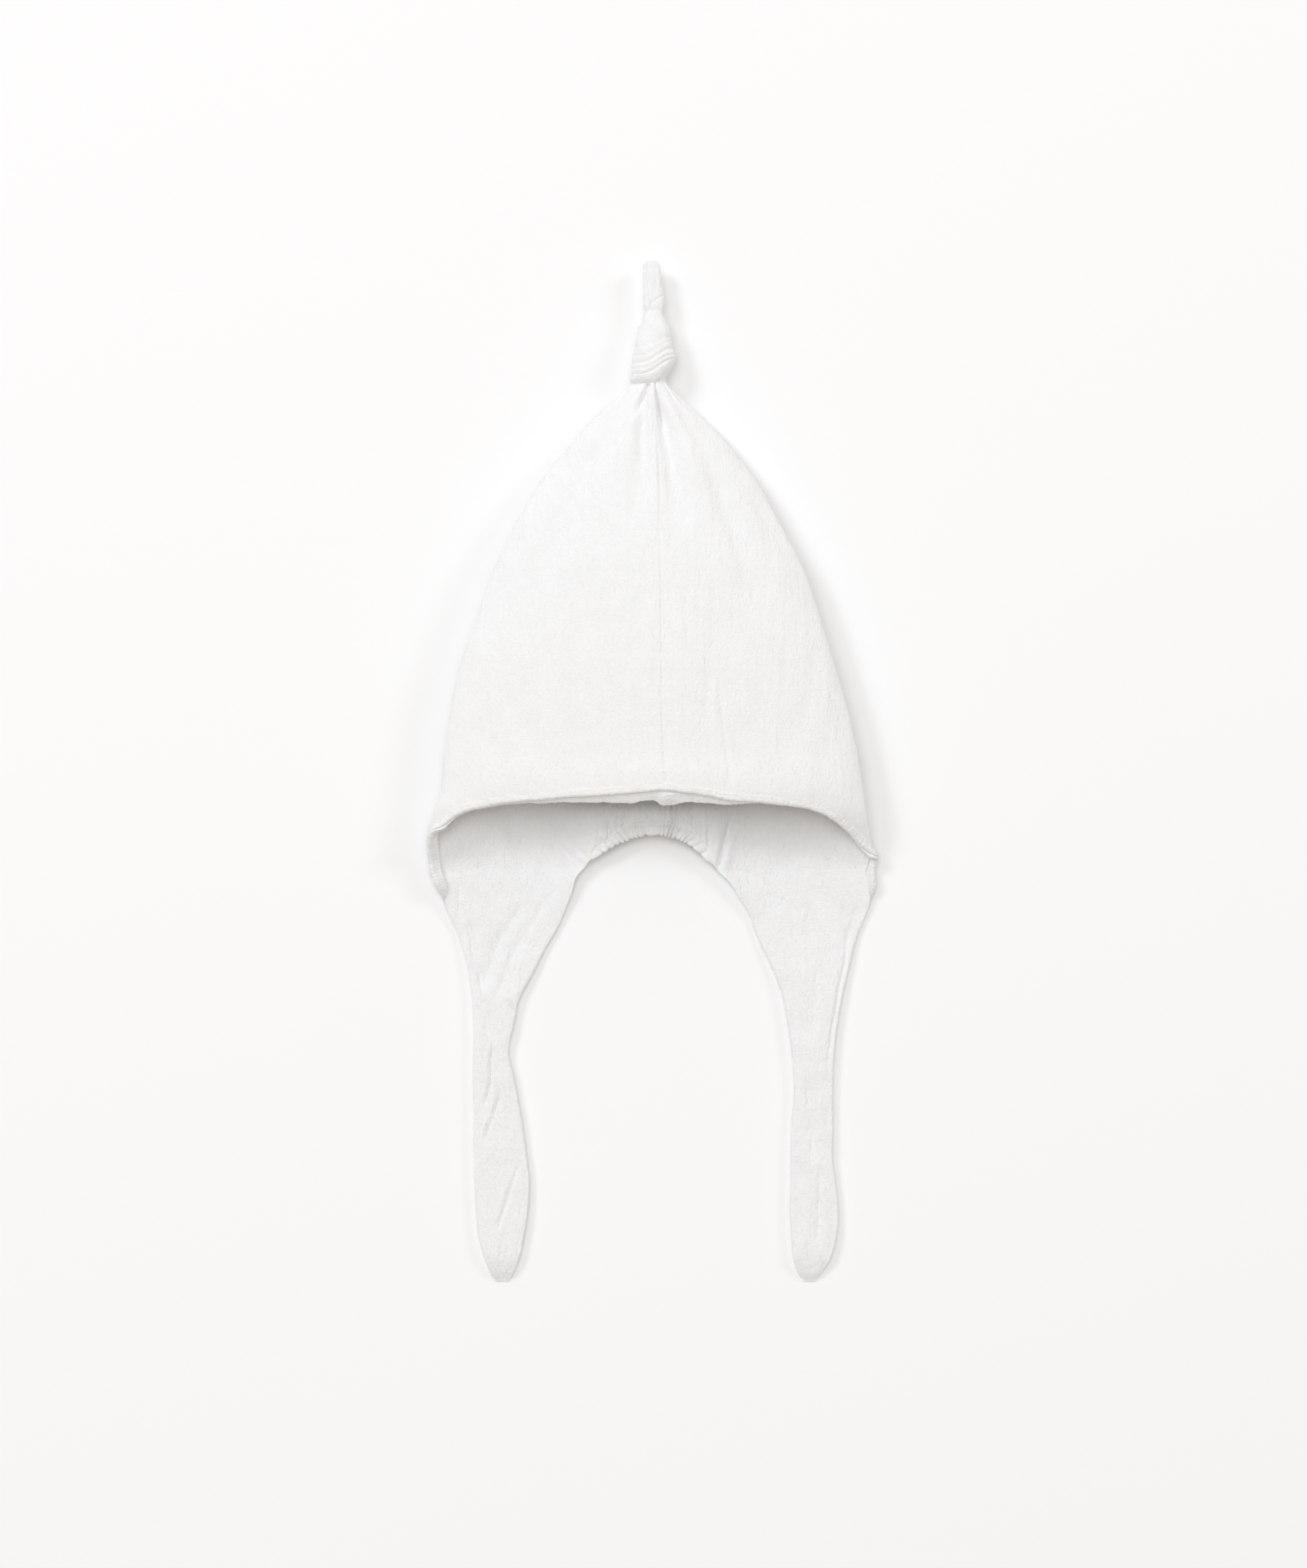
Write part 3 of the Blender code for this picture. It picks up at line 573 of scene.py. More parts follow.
class Graph:
    """The node tree of one material, built by expressions."""

    def __init__(self, name: str) -> None:
        """Starts a material with its own Principled shader."""
        self.material = bpy.data.materials.new(name)
        self.material.use_nodes = True
        self.tree = self.material.node_tree
        self.shader = self.tree.nodes["Principled BSDF"]

    def add(self, kind: str, settings: dict[str, Any], inputs: dict[Any, Any], out: Any = 0) -> Socket:
        """Adds a node.

        Args:
            kind: the node's type.
            settings: its own settings, set first.
            inputs: values or sockets, by the input's name or place.
            out: the output that is wanted, by name or place.

        Returns:
            The output.
        """
        node = self.tree.nodes.new(kind)
        for name, value in settings.items():
            setattr(node, name, value)
        for key, value in inputs.items():
            self.feed(node.inputs[key], value)
        return Socket(self, node.outputs[out])

    def feed(self, socket: bpy.types.NodeSocket, value: Any) -> None:
        """Links a socket to another one, or sets its value."""
        if isinstance(value, Socket):
            self.tree.links.new(value.socket, socket)
        else:
            socket.default_value = value

    def noise(self, vector: Socket, scale: float, detail: float = 2.0, roughness: float = 0.5) -> Socket:
        """A noise texture's value, from 0 to 1."""
        inputs = {"Vector": vector, "Scale": scale, "Detail": detail, "Roughness": roughness}
        return self.add("ShaderNodeTexNoise", {}, inputs, "Fac")

    def mix(self, factor: Socket, first: Sequence[float], second: Sequence[float]) -> Socket:
        """A colour between two colours."""
        inputs = {0: factor, 6: (*first, 1.0), 7: (*second, 1.0)}
        return self.add("ShaderNodeMix", {"data_type": "RGBA", "clamp_factor": True}, inputs, 2)


@dataclass(frozen=True)
class Muslin:
    """Two thin layers of crinkled white cotton muslin."""

    name: str
    slot: str
    light: Triple = (0.930, 0.930, 0.928)
    dark: Triple = (0.820, 0.819, 0.814)
    thread: float = 0.00075
    slub: float = 0.0034
    weave_height: float = 0.00013
    crepe_pitch: float = 0.0019
    crepe_run: float = 0.0050
    crepe_height: float = 0.00027
    rib_pitch: float = 0.0030
    rib_run: float = 0.0300
    nap_size: float = 0.0007
    nap_height: float = 0.00018
    crease_share: float = 1.4
    rib_share: float = 0.5
    small_share: float = 0.9
    long_share: float = 1.3
    small_pitch: float = 0.5
    small_run: float = 0.45
    sway_size: float = 0.009
    sway: float = 0.0028
    mottle_size: float = 0.010
    shade: float = 0.62
    # How strongly the crinkle's creases are painted darker and its ridges lighter: painted shade of its
    # relief
    crease_painted_shade: float = 0.16
    weave_shade: float = 0.24
    mottle_shade: float = 0.55
    nap_shade: float = 0.4
    roughness: float = 0.90
    nap_roughness: float = 0.08
    sheen: float = 0.25
    sheen_roughness: float = 0.6
    specular: float = 0.2

    def material(self) -> bpy.types.Material:
        """Builds the finish on the cloth's own UV map, whose unit is the metre."""
        graph = Graph(self.name)
        cloth = graph.add("ShaderNodeUVMap", {"uv_map": UV_NAME}, {})
        bend = graph.noise(cloth, 1 / self.sway_size, 2.0) - 0.5
        swerve = graph.add("ShaderNodeCombineXYZ", {}, {"X": bend * self.sway})
        cloth = graph.add("ShaderNodeVectorMath", {"operation": "ADD"}, {0: cloth, 1: swerve})
        warp = self._ribs(graph, cloth, self.thread, self.slub)
        weft = self._ribs(graph, cloth, self.slub, self.thread)
        weave = warp + weft
        ribs = self._ribs(graph, cloth, self.crepe_pitch, self.crepe_run)
        small = self._ribs(graph, cloth, self.crepe_pitch * self.small_pitch, self.crepe_run * self.small_run)
        long_ribs = self._ribs(graph, cloth, self.rib_pitch, self.rib_run)
        nap = graph.noise(cloth, 1 / self.nap_size, 3.0, 0.65) - 0.5
        creases = ribs.absolute() * -self.crease_share
        crepe = creases + ribs * self.rib_share + small * self.small_share + long_ribs * self.long_share
        strength = graph.add("ShaderNodeAttribute", {"attribute_name": CRINKLE_NAME}, {}, "Fac")
        relief = weave * self.weave_height + crepe * self.crepe_height + nap * self.nap_height
        height = relief * strength
        normal = graph.add("ShaderNodeBump", {}, {"Strength": 1.0, "Distance": 1.0, "Height": height})
        mottle = graph.noise(cloth, 1 / self.mottle_size, 4.0, 0.65) - 0.5
        # The crinkle's creases are painted darker and its ridges lighter in the colour: painted shade of the
        # relief, on top of the bump
        shade = self.shade + crepe * self.crease_painted_shade + weave * self.weave_shade
        shade = shade + mottle * self.mottle_shade + nap * self.nap_shade
        shader = graph.shader.inputs
        graph.feed(shader["Base Color"], graph.mix(shade, self.dark, self.light))
        graph.feed(shader["Roughness"], nap * self.nap_roughness + self.roughness)
        graph.feed(shader["Normal"], normal)
        graph.feed(shader["Sheen Weight"], self.sheen)
        graph.feed(shader["Sheen Roughness"], self.sheen_roughness)
        graph.feed(shader["Specular IOR Level"], self.specular)
        return graph.material

    def _ribs(self, graph: Graph, cloth: Socket, pitch: float, run: float) -> Socket:
        """Noise about zero that is stretched along the cloth."""
        inputs = {"Vector": cloth, "Scale": (1 / pitch, 1 / run, 1.0)}
        stretched = graph.add("ShaderNodeMapping", {"vector_type": "POINT"}, inputs)
        return graph.noise(stretched, 1.0, 2.0, 0.5) - 0.5


@dataclass(frozen=True)
class Thread:
    """White cotton sewing thread, two plies twisted together."""

    name: str = "white thread"
    light: Triple = (0.90, 0.90, 0.90)
    dark: Triple = (0.80, 0.80, 0.80)
    ply: float = 0.0004
    ply_height: float = 0.0001
    roughness: float = 0.7

    def material(self) -> bpy.types.Material:
        """Builds the finish on Object coordinates."""
        graph = Graph(self.name)
        place = graph.add("ShaderNodeTexCoord", {}, {}, "Object")
        twist = graph.noise(place, 1 / self.ply, 1.0)
        graph.feed(graph.shader.inputs["Base Color"], graph.mix(twist, self.dark, self.light))
        graph.feed(graph.shader.inputs["Roughness"], self.roughness)
        inputs = {"Strength": 0.5, "Distance": self.ply_height, "Height": twist}
        normal = graph.add("ShaderNodeBump", {}, inputs)
        graph.feed(graph.shader.inputs["Normal"], normal)
        return graph.material


# Meshes


@dataclass
class Skin:
    """A mesh that is put together from grids of points, each with its place on the cloth."""

    points: list[Array] = field(default_factory=list)
    places: list[Array] = field(default_factory=list)
    back_places: list[Array] = field(default_factory=list)
    crinkles: list[Array] = field(default_factory=list)
    faces: list[tuple[int, ...]] = field(default_factory=list)
    on_back: list[bool] = field(default_factory=list)
    count: int = 0

    def grid(
        self, points: Array, places: Array, back_places: Array | None = None, crinkle: float = 1.0
    ) -> Numbers:
        """Adds points, and returns their numbers in the same layout.

        Args:
            points: places in space, with three numbers in the last axis.
            places: places on the cloth, with two.
            back_places: the places that faces on the back of the piece use, where they differ.
            crinkle: how strong the cloth's small crinkles are, where 1 is plain.

        Returns:
            The number of each point.
        """
        size = int(np.prod(points.shape[:-1]))
        self.points.append(points.reshape(size, 3))
        self.places.append(places.reshape(size, 2))
        self.back_places.append((places if back_places is None else back_places).reshape(size, 2))
        self.crinkles.append(np.full(size, crinkle))
        numbers = np.arange(self.count, self.count + size).reshape(points.shape[:-1])
        self.count += size
        return numbers

    def cover(self, numbers: Numbers, back: bool = False) -> None:
        """Adds the four-sided faces of a grid of numbers, on the front or the back of the piece."""
        corners = (numbers[:-1, :-1], numbers[:-1, 1:], numbers[1:, 1:], numbers[1:, :-1])
        quads = np.stack([corner.ravel() for corner in corners], axis=-1)
        self.faces += [tuple(quad) for quad in quads.tolist()]
        self.on_back += [back] * len(quads)

    def strip(self, first: Numbers, second: Numbers, back: bool = False) -> None:
        """Adds the faces between two lines of numbers."""
        self.cover(np.stack([first, second]), back)

    def cap(self, ring: Numbers) -> None:
        """Closes a ring of numbers with triangles to its middle."""
        points, places = np.concatenate(self.points), np.concatenate(self.places)
        middle = self.grid(points[ring].mean(axis=0)[None], places[ring].mean(axis=0)[None])[0]
        self.faces += [(a, b, int(middle)) for a, b in zip(ring.tolist(), np.roll(ring, -1).tolist())]
        self.on_back += [False] * len(ring)

    def make(self, name: str, material: bpy.types.Material) -> bpy.types.Object:
        """Makes the piece, closed, with its faces pointing out.

        Args:
            name: the piece's name.
            material: its finish.

        Returns:
            The new object.
        """
        mesh = bpy.data.meshes.new(name)
        mesh.from_pydata(np.concatenate(self.points).tolist(), [], self.faces)
        built = bmesh.new()
        built.from_mesh(mesh)
        bmesh.ops.recalc_face_normals(built, faces=built.faces)
        built.to_mesh(mesh)
        built.free()
        corners = np.empty(len(mesh.loops), dtype=np.int32)
        mesh.loops.foreach_get("vertex_index", corners)
        on_back = np.repeat(self.on_back, [len(face) for face in self.faces])[:, None]
        fronts, backs = np.concatenate(self.places), np.concatenate(self.back_places)
        places = np.where(on_back, backs[corners], fronts[corners])
        layer = mesh.uv_layers.new(name=UV_NAME)
        layer.data.foreach_set("uv", places.astype(np.float32).ravel())
        strength = mesh.attributes.new(CRINKLE_NAME, "FLOAT", "POINT")
        strength.data.foreach_set("value", np.concatenate(self.crinkles).astype(np.float32))
        mesh.shade_smooth()
        mesh.set_sharp_from_angle(angle=SHARP_ANGLE)
        mesh.materials.append(material)
        piece = bpy.data.objects.new(name, mesh)
        bpy.context.scene.collection.objects.link(piece)
        return piece


def grid_normals(points: Array) -> Array:
    """Normals of a grid of points, along the cross product of its rows and columns."""
    return unit(np.cross(np.gradient(points, axis=1), np.gradient(points, axis=0)))


def tube(name: str, rings: Array, places: Array, material: bpy.types.Material) -> bpy.types.Object:
    """A closed piece through rings of as many points each.

    Args:
        name: the piece's name.
        rings: the rings' points, ring by ring.
        places: their places on the cloth.
        material: the finish.

    Returns:
        The new object.
    """
    skin = Skin()
    closing = places.copy()
    closing[:, 0, 0] += places[:, -1, 0] + places[:, 1, 0] - 2 * places[:, 0, 0]
    numbers = skin.grid(rings, places, closing)
    skin.cover(numbers)
    skin.strip(numbers[:, -1], numbers[:, 0], back=True)
    skin.cap(numbers[0])
    skin.cap(numbers[-1])
    return skin.make(name, material)


def tube_places(rings: Array) -> Array:
    """Places on the cloth of a tube's points: round each ring and along the tube."""
    around = np.linalg.norm(np.diff(rings, axis=1, append=rings[:, :1]), axis=-1)
    around = eased(np.cumsum(around, axis=1) - around, AROUND_EASE)
    along = np.linalg.norm(np.diff(rings.mean(axis=1), axis=0, prepend=rings[:1].mean(axis=1)), axis=-1)
    return np.stack([around, np.broadcast_to(np.cumsum(along)[:, None], around.shape)], axis=-1)


# Crown, ear flaps and ties


@dataclass(frozen=True)
class Crown:
    """The crown's outer surface, from inside the knot to the face edge and the nape."""

    knot_base_y: float
    flap_top_y: float
    ear_drop: float = 0.0380
    width: float = 0.2060
    height: float = 0.0340
    wall: float = 0.0016
    neck_width: float = 0.0172
    neck_height: float = 0.0130
    neck_x: float = -0.0006
    seam_lean: float = 0.0057
    ear_height: float = 0.0085
    knot_thickness: float = 0.0180
    seam_ridge: float = 0.00045
    seam_turned: float = 0.0066
    seam_ditch: float = 0.00010
    nape_width: float = 0.0660
    nape_drop: float = 0.0134
    nape_lift: float = 0.0056
    nape_curve_left: float = 2.2
    nape_curve_right: float = 3.0
    nape_corner_left: float = 1.920
    nape_corner_right: float = 1.990
    pleats: int = 9
    pleat_depth: float = 0.0006
    pleats_fade: float = 0.16
    into_knot: float = 0.030
    knot_squeeze: float = 0.86
    neck_opens: float = 0.20
    neck_settles: float = 0.12
    top_fuller: float = 0.2
    under_flatter: float = 0.5
    under_sag: float = 0.06
    fold_steep: float = 4.0
    seam_plain: float = 0.0002
    seam_blend: float = 0.0016
    turned_ease: float = 0.0016
    seam_ease: float = 0.0009
    ditch_half: float = 0.0004
    turned_at_neck: float = 0.32
    fold_opens: float = 0.18
    fold_closes: float = 0.45
    nudge: float = 0.002
    nudge_down: float = 0.02
    steps: int = 220

    @property
    def length(self) -> float:
        """From the knot to the brow."""
        return self.knot_base_y - self.flap_top_y - self.ear_drop

    @property
    def girth(self) -> float:
        """Round one half of the crown at its widest."""
        return self.width * 1.06 + self.neck_height / 2

    @property
    def ear(self) -> float:
        """Share round the cloth where the face edge ends and the ear flap starts."""
        return BROW_EDGE[-1].around

    @property
    def corner(self) -> float:
        """Share round the cloth where the ear flap ends and the nape starts."""
        return 1 - self.nape_width / 2 / self.girth

    def run(self, down: Array | float) -> Array:
        """Distance from the knot of a share down the crown, where 1 to 2 is the ear drop."""
        return np.minimum(down, 1) * self.length + np.maximum(np.asarray(down) - 1, 0) * self.ear_drop

    def section(self, name: str, down: Array) -> Array:
        """One column of the crown's sections."""
        return through(CROWN_SECTIONS, "down", name, down, self.run)

    def fold_depth(self, side: Side, down: Array, offset: Array) -> Array:
        """How far the folds press in, where offset is a share of the half width from the seam."""
        depth = np.zeros_like(offset)
        for fold in CROWN_FOLDS:
            if fold.side is not side:
                continue
            share = (down - fold.starts) / (fold.ends - fold.starts)
            window = smooth(share / self.fold_opens) * smooth((1 - share) / self.fold_closes)
            line = fold.line_from + (fold.line_to - fold.line_from) * share
            away = np.abs(offset - line) / fold.width
            depth += fold.depth * window * furrow(away, fold.sharp, 1.8)
        return depth

    def nape_raise(self, down: Array, around: Array) -> Array:
        """How far the elastic lifts the back panel off the surface towards the nape."""
        q = (1 - around) / (1 - self.corner)
        near = smooth((down - 0.9) / 0.35) * (1 - smooth((q - 0.7) / 0.8))
        return np.where(around > 0.6, self.nape_lift * near, 0.0)

    def surface(self, side: Side, down: Array, around: Array) -> tuple[Array, Array]:
        """Points of the outer surface, and how far each is from the front seam round the cloth.

        Args:
            side: the half of the crown.
            down: shares down the crown.
            around: shares round the cloth, of the same shape.

        Returns:
            The points, and the distances.
        """
        rows = [self._row(side, d, a) for d, a in zip(np.atleast_2d(down), np.atleast_2d(around))]
        points = np.stack([row[0] for row in rows])
        reach = np.stack([row[1] for row in rows])
        return (points, reach) if np.ndim(down) == 2 else (points[0], reach[0])

    def _outlines(self, side: Side, down: Array) -> tuple[Array, ...]:
        """Sections of one half, each as a line from the front seam to the back one.

        Args:
            side: the half of the crown.
            down: shares down the crown.

        Returns:
            The lines' x and z, and each section's half width, middle and front seam.
        """
        inside = np.maximum(down, 0)
        half = self.neck_width / 2 + (self.width - self.neck_width) / 2 * self.section(side.value, inside)
        half = half * np.where(down < 0, self.knot_squeeze, 1.0)
        low = np.where(inside <= 1, self.neck_height, self.ear_height)
        height = low + (self.height - low) * self.section("height", inside)
        opened = smooth(inside / self.neck_opens)[:, None]
        settled = 1 - smooth(inside / self.neck_settles)
        base = (self.knot_thickness - self.neck_height) / 2 * settled
        middle = base + height / 2
        front_x = self.neck_x + self.seam_lean * self.section("seam", inside)

        turn = np.linspace(0, np.pi, self.steps + 1)[None, :]
        top = turn < np.pi / 2
        power = np.where(top, 2 / (2 - self.top_fuller * opened), 2 / (2 + self.under_flatter * opened))
        out = np.abs(np.sin(turn)) ** power
        up = np.abs(np.cos(turn)) ** power
        seam_x = np.where(top, front_x[:, None], self.neck_x)
        x = seam_x + (side.sign * half[:, None] - seam_x) * out
        z_top = middle[:, None] + height[:, None] / 2 * up
        z_under = middle[:, None] - height[:, None] / 2 * (1 + self.under_sag * opened) * up
        z = np.where(top, z_top, np.maximum(base[:, None], z_under))
        return x, z, half, middle, front_x

    def _row(self, side: Side, down: Array, around: Array) -> tuple[Array, Array]:
        """Points of one row, each read on the outline of its own section.

        Args:
            side: the half of the crown.
            down: shares down the crown.
            around: shares round the cloth.

        Returns:
            The points, and how far each is from the front seam.
        """
        inside = np.maximum(down, 0)
        x, z, half, middle, front_x = self._outlines(side, down)
        steps = np.hypot(np.diff(x, axis=1), np.diff(z, axis=1))
        along = np.concatenate([np.zeros((len(x), 1)), np.cumsum(steps, axis=1)], axis=1)
        girth = along[:, -1]
        target = around * girth
        i = np.clip((along <= target[:, None]).sum(axis=1) - 1, 0, self.steps - 1)
        row = np.arange(len(x))
        t = (target - along[row, i]) / np.maximum(along[row, i + 1] - along[row, i], 1e-12)
        px = x[row, i] * (1 - t) + x[row, i + 1] * t
        pz = z[row, i] * (1 - t) + z[row, i + 1] * t

        inward = unit(np.stack([front_x - px, (middle - pz) * self.fold_steep], axis=-1))
        in_front = around < 0.5
        inward = np.where(in_front[:, None], inward, [0.0, 1.0])
        from_seam = np.minimum(target, girth - target)
        clear = smooth((from_seam - self.seam_plain) / self.seam_blend)
        offset = np.abs(px - front_x) / half
        press = self.fold_depth(side, down, offset) * in_front
        pleats = (1 - np.cos(2 * np.pi * self.pleats * around)) / 2 * smooth((offset - 0.5) / 0.3)
        press = press + self.pleat_depth * pleats * (1 - smooth(inside / self.pleats_fade)) * in_front
        px = px + inward[:, 0] * press * clear
        pz = pz + inward[:, 1] * press * clear
        turned = self.turned_at_neck + (1 - self.turned_at_neck) * smooth(inside)
        flat = self.seam_turned * turned if side is Side.LEFT else 0.0
        ease = self.turned_ease if side is Side.LEFT else self.seam_ease
        ridge = self.seam_ridge * (1 - smooth((target - flat) / ease))
        ditch = self.seam_ditch * bump(target, 0, self.ditch_half)
        pz = pz + (ridge - ditch) * smooth(inside / 0.03) + self.nape_raise(inside, around)
        y = self.knot_base_y - self.run(down)
        return np.stack([px, y, pz], axis=-1), target

    def edge_down(self, side: Side, around: Array) -> Array:
        """How far down the cloth ends: at the brow, along the flap, or at the nape."""
        corner, ear = self.corner, self.ear
        at_corner = self.nape_corner_left if side is Side.LEFT else self.nape_corner_right
        curve = self.nape_curve_left if side is Side.LEFT else self.nape_curve_right
        top = 1 + self.nape_drop / self.ear_drop
        brow = through(BROW_EDGE, "around", side.value, around)
        flap = 2 + (at_corner - 2) * smooth((around - ear) / (corner - ear))
        nape = top + (at_corner - top) * (np.clip(1 - around, 0, 1) / (1 - corner)) ** curve
        return np.where(around <= ear, brow, np.where(around <= corner, flap, nape))

    def edge(self, side: Side, around: Array) -> tuple[Array, Array, Array]:
        """The edge of the cloth, with the direction off it and its outward normal.

        Args:
            side: the half of the crown.
            around: shares round the cloth.

        Returns:
            The points, the directions off the cloth and the normals.
        """
        down = self.edge_down(side, around)
        points, _ = self.surface(side, down, around)
        inside, _ = self.surface(side, down - self.nudge_down, around)
        after, before = np.clip(around + self.nudge, 0, 1), np.clip(around - self.nudge, 0, 1)
        ahead, _ = self.surface(side, self.edge_down(side, after), after)
        behind, _ = self.surface(side, self.edge_down(side, before), before)
        tangent = unit(ahead - behind)
        normal = unit(np.cross(points - inside, tangent)) * side.sign
        off = unit(np.cross(tangent, normal)) * side.sign
        return points, off, normal


@dataclass(frozen=True)
class Ruffles:
    """The gathers of the nape: how the cloth swells along its edge."""

    pitch: float = 0.0027
    patch_x: float = -0.0030
    patch_half: float = 0.0052
    patch_calm: float = 0.78
    uneven: float = 0.7
    uneven_size: float = 0.0050
    fullness: float = 0.72
    lively: float = 0.55
    lively_size: float = 0.0042
    roundness: float = 0.75
    seed: int = 41

    def swell(self, x: Array, lean: Array | float = 0.0) -> Array:
        """How full the cloth is, from 0 in a gather to 1 on a ruffle.

        Args:
            x: places across the nape.
            lean: how far the ruffle leans here, in ruffles.

        Returns:
            The fullness.
        """
        span = np.linspace(-0.05, 0.05, 2001)
        patch = 1 - self.patch_calm * bump(span, self.patch_x, self.patch_half, 4)
        rate = patch * (1 + self.uneven * Noise(self.seed)(span / self.uneven_size, 0.5)) / self.pitch
        phase = np.cumsum(rate) * (span[1] - span[0])
        at = np.interp(x, span, phase) + lean
        full = self.fullness + self.lively * Noise(self.seed + 1)(x / self.lively_size, 1.5)
        return np.clip(np.abs(np.sin(np.pi * at)) ** self.roundness * full, 0, 1)


@dataclass
class Panel:
    """One side of the cap: half of the crown, its ear flap and its tie, in one cloth."""

    side: Side
    crown: Crown
    ruffles: Ruffles
    tie_length: float
    crepe: Crepe = Crepe()
    tie_crepe: Crepe = TIE_CREPE
    tie_width: float = 0.0268
    tie_spacing: float = 0.1540
    tie_thickness: float = 0.0046
    hem_width: float = 0.0036
    hem_run: float = 0.0172
    hem_taper: float = 0.0125
    hem_rise: float = 0.0003
    hem_stands: float = 0.0008
    fine_column: float = 0.00062
    wide_column: float = 0.00110
    nape_column: float = 0.00050
    crown_rows: int = 100
    strap_rows: int = 116
    lean: float = 0.27
    lean_run: float = 0.110
    gather_depth: float = 0.0026
    gather_fades: float = 0.0095
    nape_thins: float = 0.75
    fan_height: float = 0.0010
    allowance_half: float = 0.0085
    allowance_height: float = 0.0007
    inner_crinkle: float = 1.55
    strap_crinkle: float = 1.35
    root_blend: float = 0.16
    thickens_by: float = 0.35
    edge_share: float = 0.45
    thinnest: float = 0.0003
    lean_from: float = 0.05
    fan_pitch: float = 0.0046
    fan_reach: float = 0.42
    flat_size: tuple[float, float] = (0.225, 0.440)
    flat_area: float = 0.0470

    def columns(self) -> Array:
        """Shares round the cloth of the columns, closest at the seams and along the nape."""
        crown = self.crown
        places, step = [0.0], self.fine_column / 4
        while places[-1] < crown.ear * crown.girth:
            places.append(places[-1] + step)
            step = min(step * 1.15, self.fine_column)
        front = np.array(places) / places[-1] * crown.ear
        flap_count = round((crown.corner - crown.ear) * crown.girth / self.wide_column)
        nape_count = round((1 - crown.corner) * crown.girth / self.nape_column)
        flap = np.linspace(crown.ear, crown.corner, flap_count + 1)
        nape = np.linspace(crown.corner, 1, nape_count + 1)
        return np.concatenate([front, flap[1:], nape[1:]])

    def strap_edges(self, down: Array, corners: tuple[float, float]) -> tuple[Array, Array]:
        """The outer and inner edge of the flap and tie, across the cap.

        Args:
            down: shares down the flap and tie.
            corners: where the flap's outer and inner corners are on the crown.

        Returns:
            The x of the outer edge and of the inner one.
        """
        sign, rows = self.side.sign, STRAPS[self.side]
        centre = sign * self.tie_spacing / 2
        past_hem = (down * self.tie_length - self.hem_run) / self.hem_taper + 1
        under_hem = self.hem_width * (1 - smooth(past_hem))
        outer = centre + sign * self.tie_width * through(rows, "down", "outer", down)
        share = through(rows, "down", "outer_root", down)
        outer = outer + (corners[0] + sign * self.hem_width - outer) * share - sign * under_hem
        inner = centre - sign * self.tie_width * through(rows, "down", "inner", down)
        inner = inner + (corners[1] - inner) * through(rows, "down", "inner_root", down)
        return outer, inner

    def dents(self, across: Array, down: Array, width: Array) -> Array:
        """Depths of the creases in the top of the flap and tie.

        Args:
            across: shares across from the outer edge.
            down: shares down its length.
            width: its width at each place, in metres.

        Returns:
            The depth at each place.
        """
        total = np.zeros_like(across)
        for made in STRAP_CREASES:
            if made.side is not self.side:
                continue
            downs, acrosses = made.line()
            share = (down - downs[0]) / (downs[-1] - downs[0])
            window = smooth(share * 4 + 0.4) * smooth((1 - share) * 4 + 0.4)
            away = np.abs(across - np.interp(down, downs, acrosses)) * width / made.width
            beyond = np.maximum(downs[0] - down, down - downs[-1]) * self.tie_length / (2 * made.width)
            window = window * bump(np.maximum(beyond, 0), 0, 1)
            total += made.depth * window * furrow(away)
        return total

    def nape_folds(self, points: Array) -> Array:
        """Heights of the folds that fan out from the gathered nape, on the back's inner face.

        Args:
            points: the plain surface.

        Returns:
            The height at each point.
        """
        crown, x = self.crown, points[..., 0]
        below = (crown.flap_top_y + crown.ear_drop - points[..., 1]) / crown.ear_drop
        arch = 0.30 + 0.62 * (x / (crown.nape_width / 2)) ** 2
        near = bump(np.maximum(arch - below, 0), 0, self.fan_reach) * bump(x, 0, crown.nape_width * 0.60, 4)
        fan = x / (1 + 0.35 * np.clip(arch - below, -0.5, 1))
        folds = 1 - np.abs(Noise(44)(fan / self.fan_pitch, below * 0.5)) * 2.4
        total = self.fan_height * folds * near
        for made in NAPE_CREASES:
            downs, acrosses = made.line()
            share = (below - downs[0]) / (downs[-1] - downs[0])
            window = smooth(share * 2.5 + 0.3) * smooth((1 - share) * 5 + 0.6)
            away = np.abs(x - np.interp(below, downs, acrosses * crown.nape_width / 2)) / made.width
            total = total - made.depth * window * furrow(away)
        return total

    def _walls(self, down: Array, around: Array, outside: Array, reach: Array) -> tuple[Array, Array]:
        """Gives the crown its crinkles, gathers and thickness.

        Args:
            down: shares down the crown, row by row to its edge.
            around: shares round the cloth.
            outside: the plain outer surface.
            reach: how far each place is from the front seam.

        Returns:
            The points of the outer face and of the inner one.
        """
        crown = self.crown
        normals = grid_normals(outside) * -self.side.sign
        x, along = outside[..., 0], -outside[..., 1]
        lean = self.lean * self.lean_run * np.tanh((crown.run(down) - self.lean_from) / self.lean_run)
        leaned = reach + lean * smooth(reach / 0.03)
        lift = self.crepe.heights(np.where(around < 0.5, leaned, x + BACK_SHIFT), along)
        from_edge = crown.run(crown.edge_down(self.side, around[0]))[None, :] - crown.run(down)
        at_seams = smooth((np.minimum(around, 1 - around) * crown.girth - 0.0008) / 0.004)
        at_fold = smooth((np.abs(around - 0.5) - 0.002) / 0.050)
        near_neck = 0.35 + 0.65 * smooth(down / 0.12)
        at_edge = 0.45 + 0.55 * smooth(from_edge / 0.012)
        lift = lift * at_seams * at_fold * near_neck * at_edge

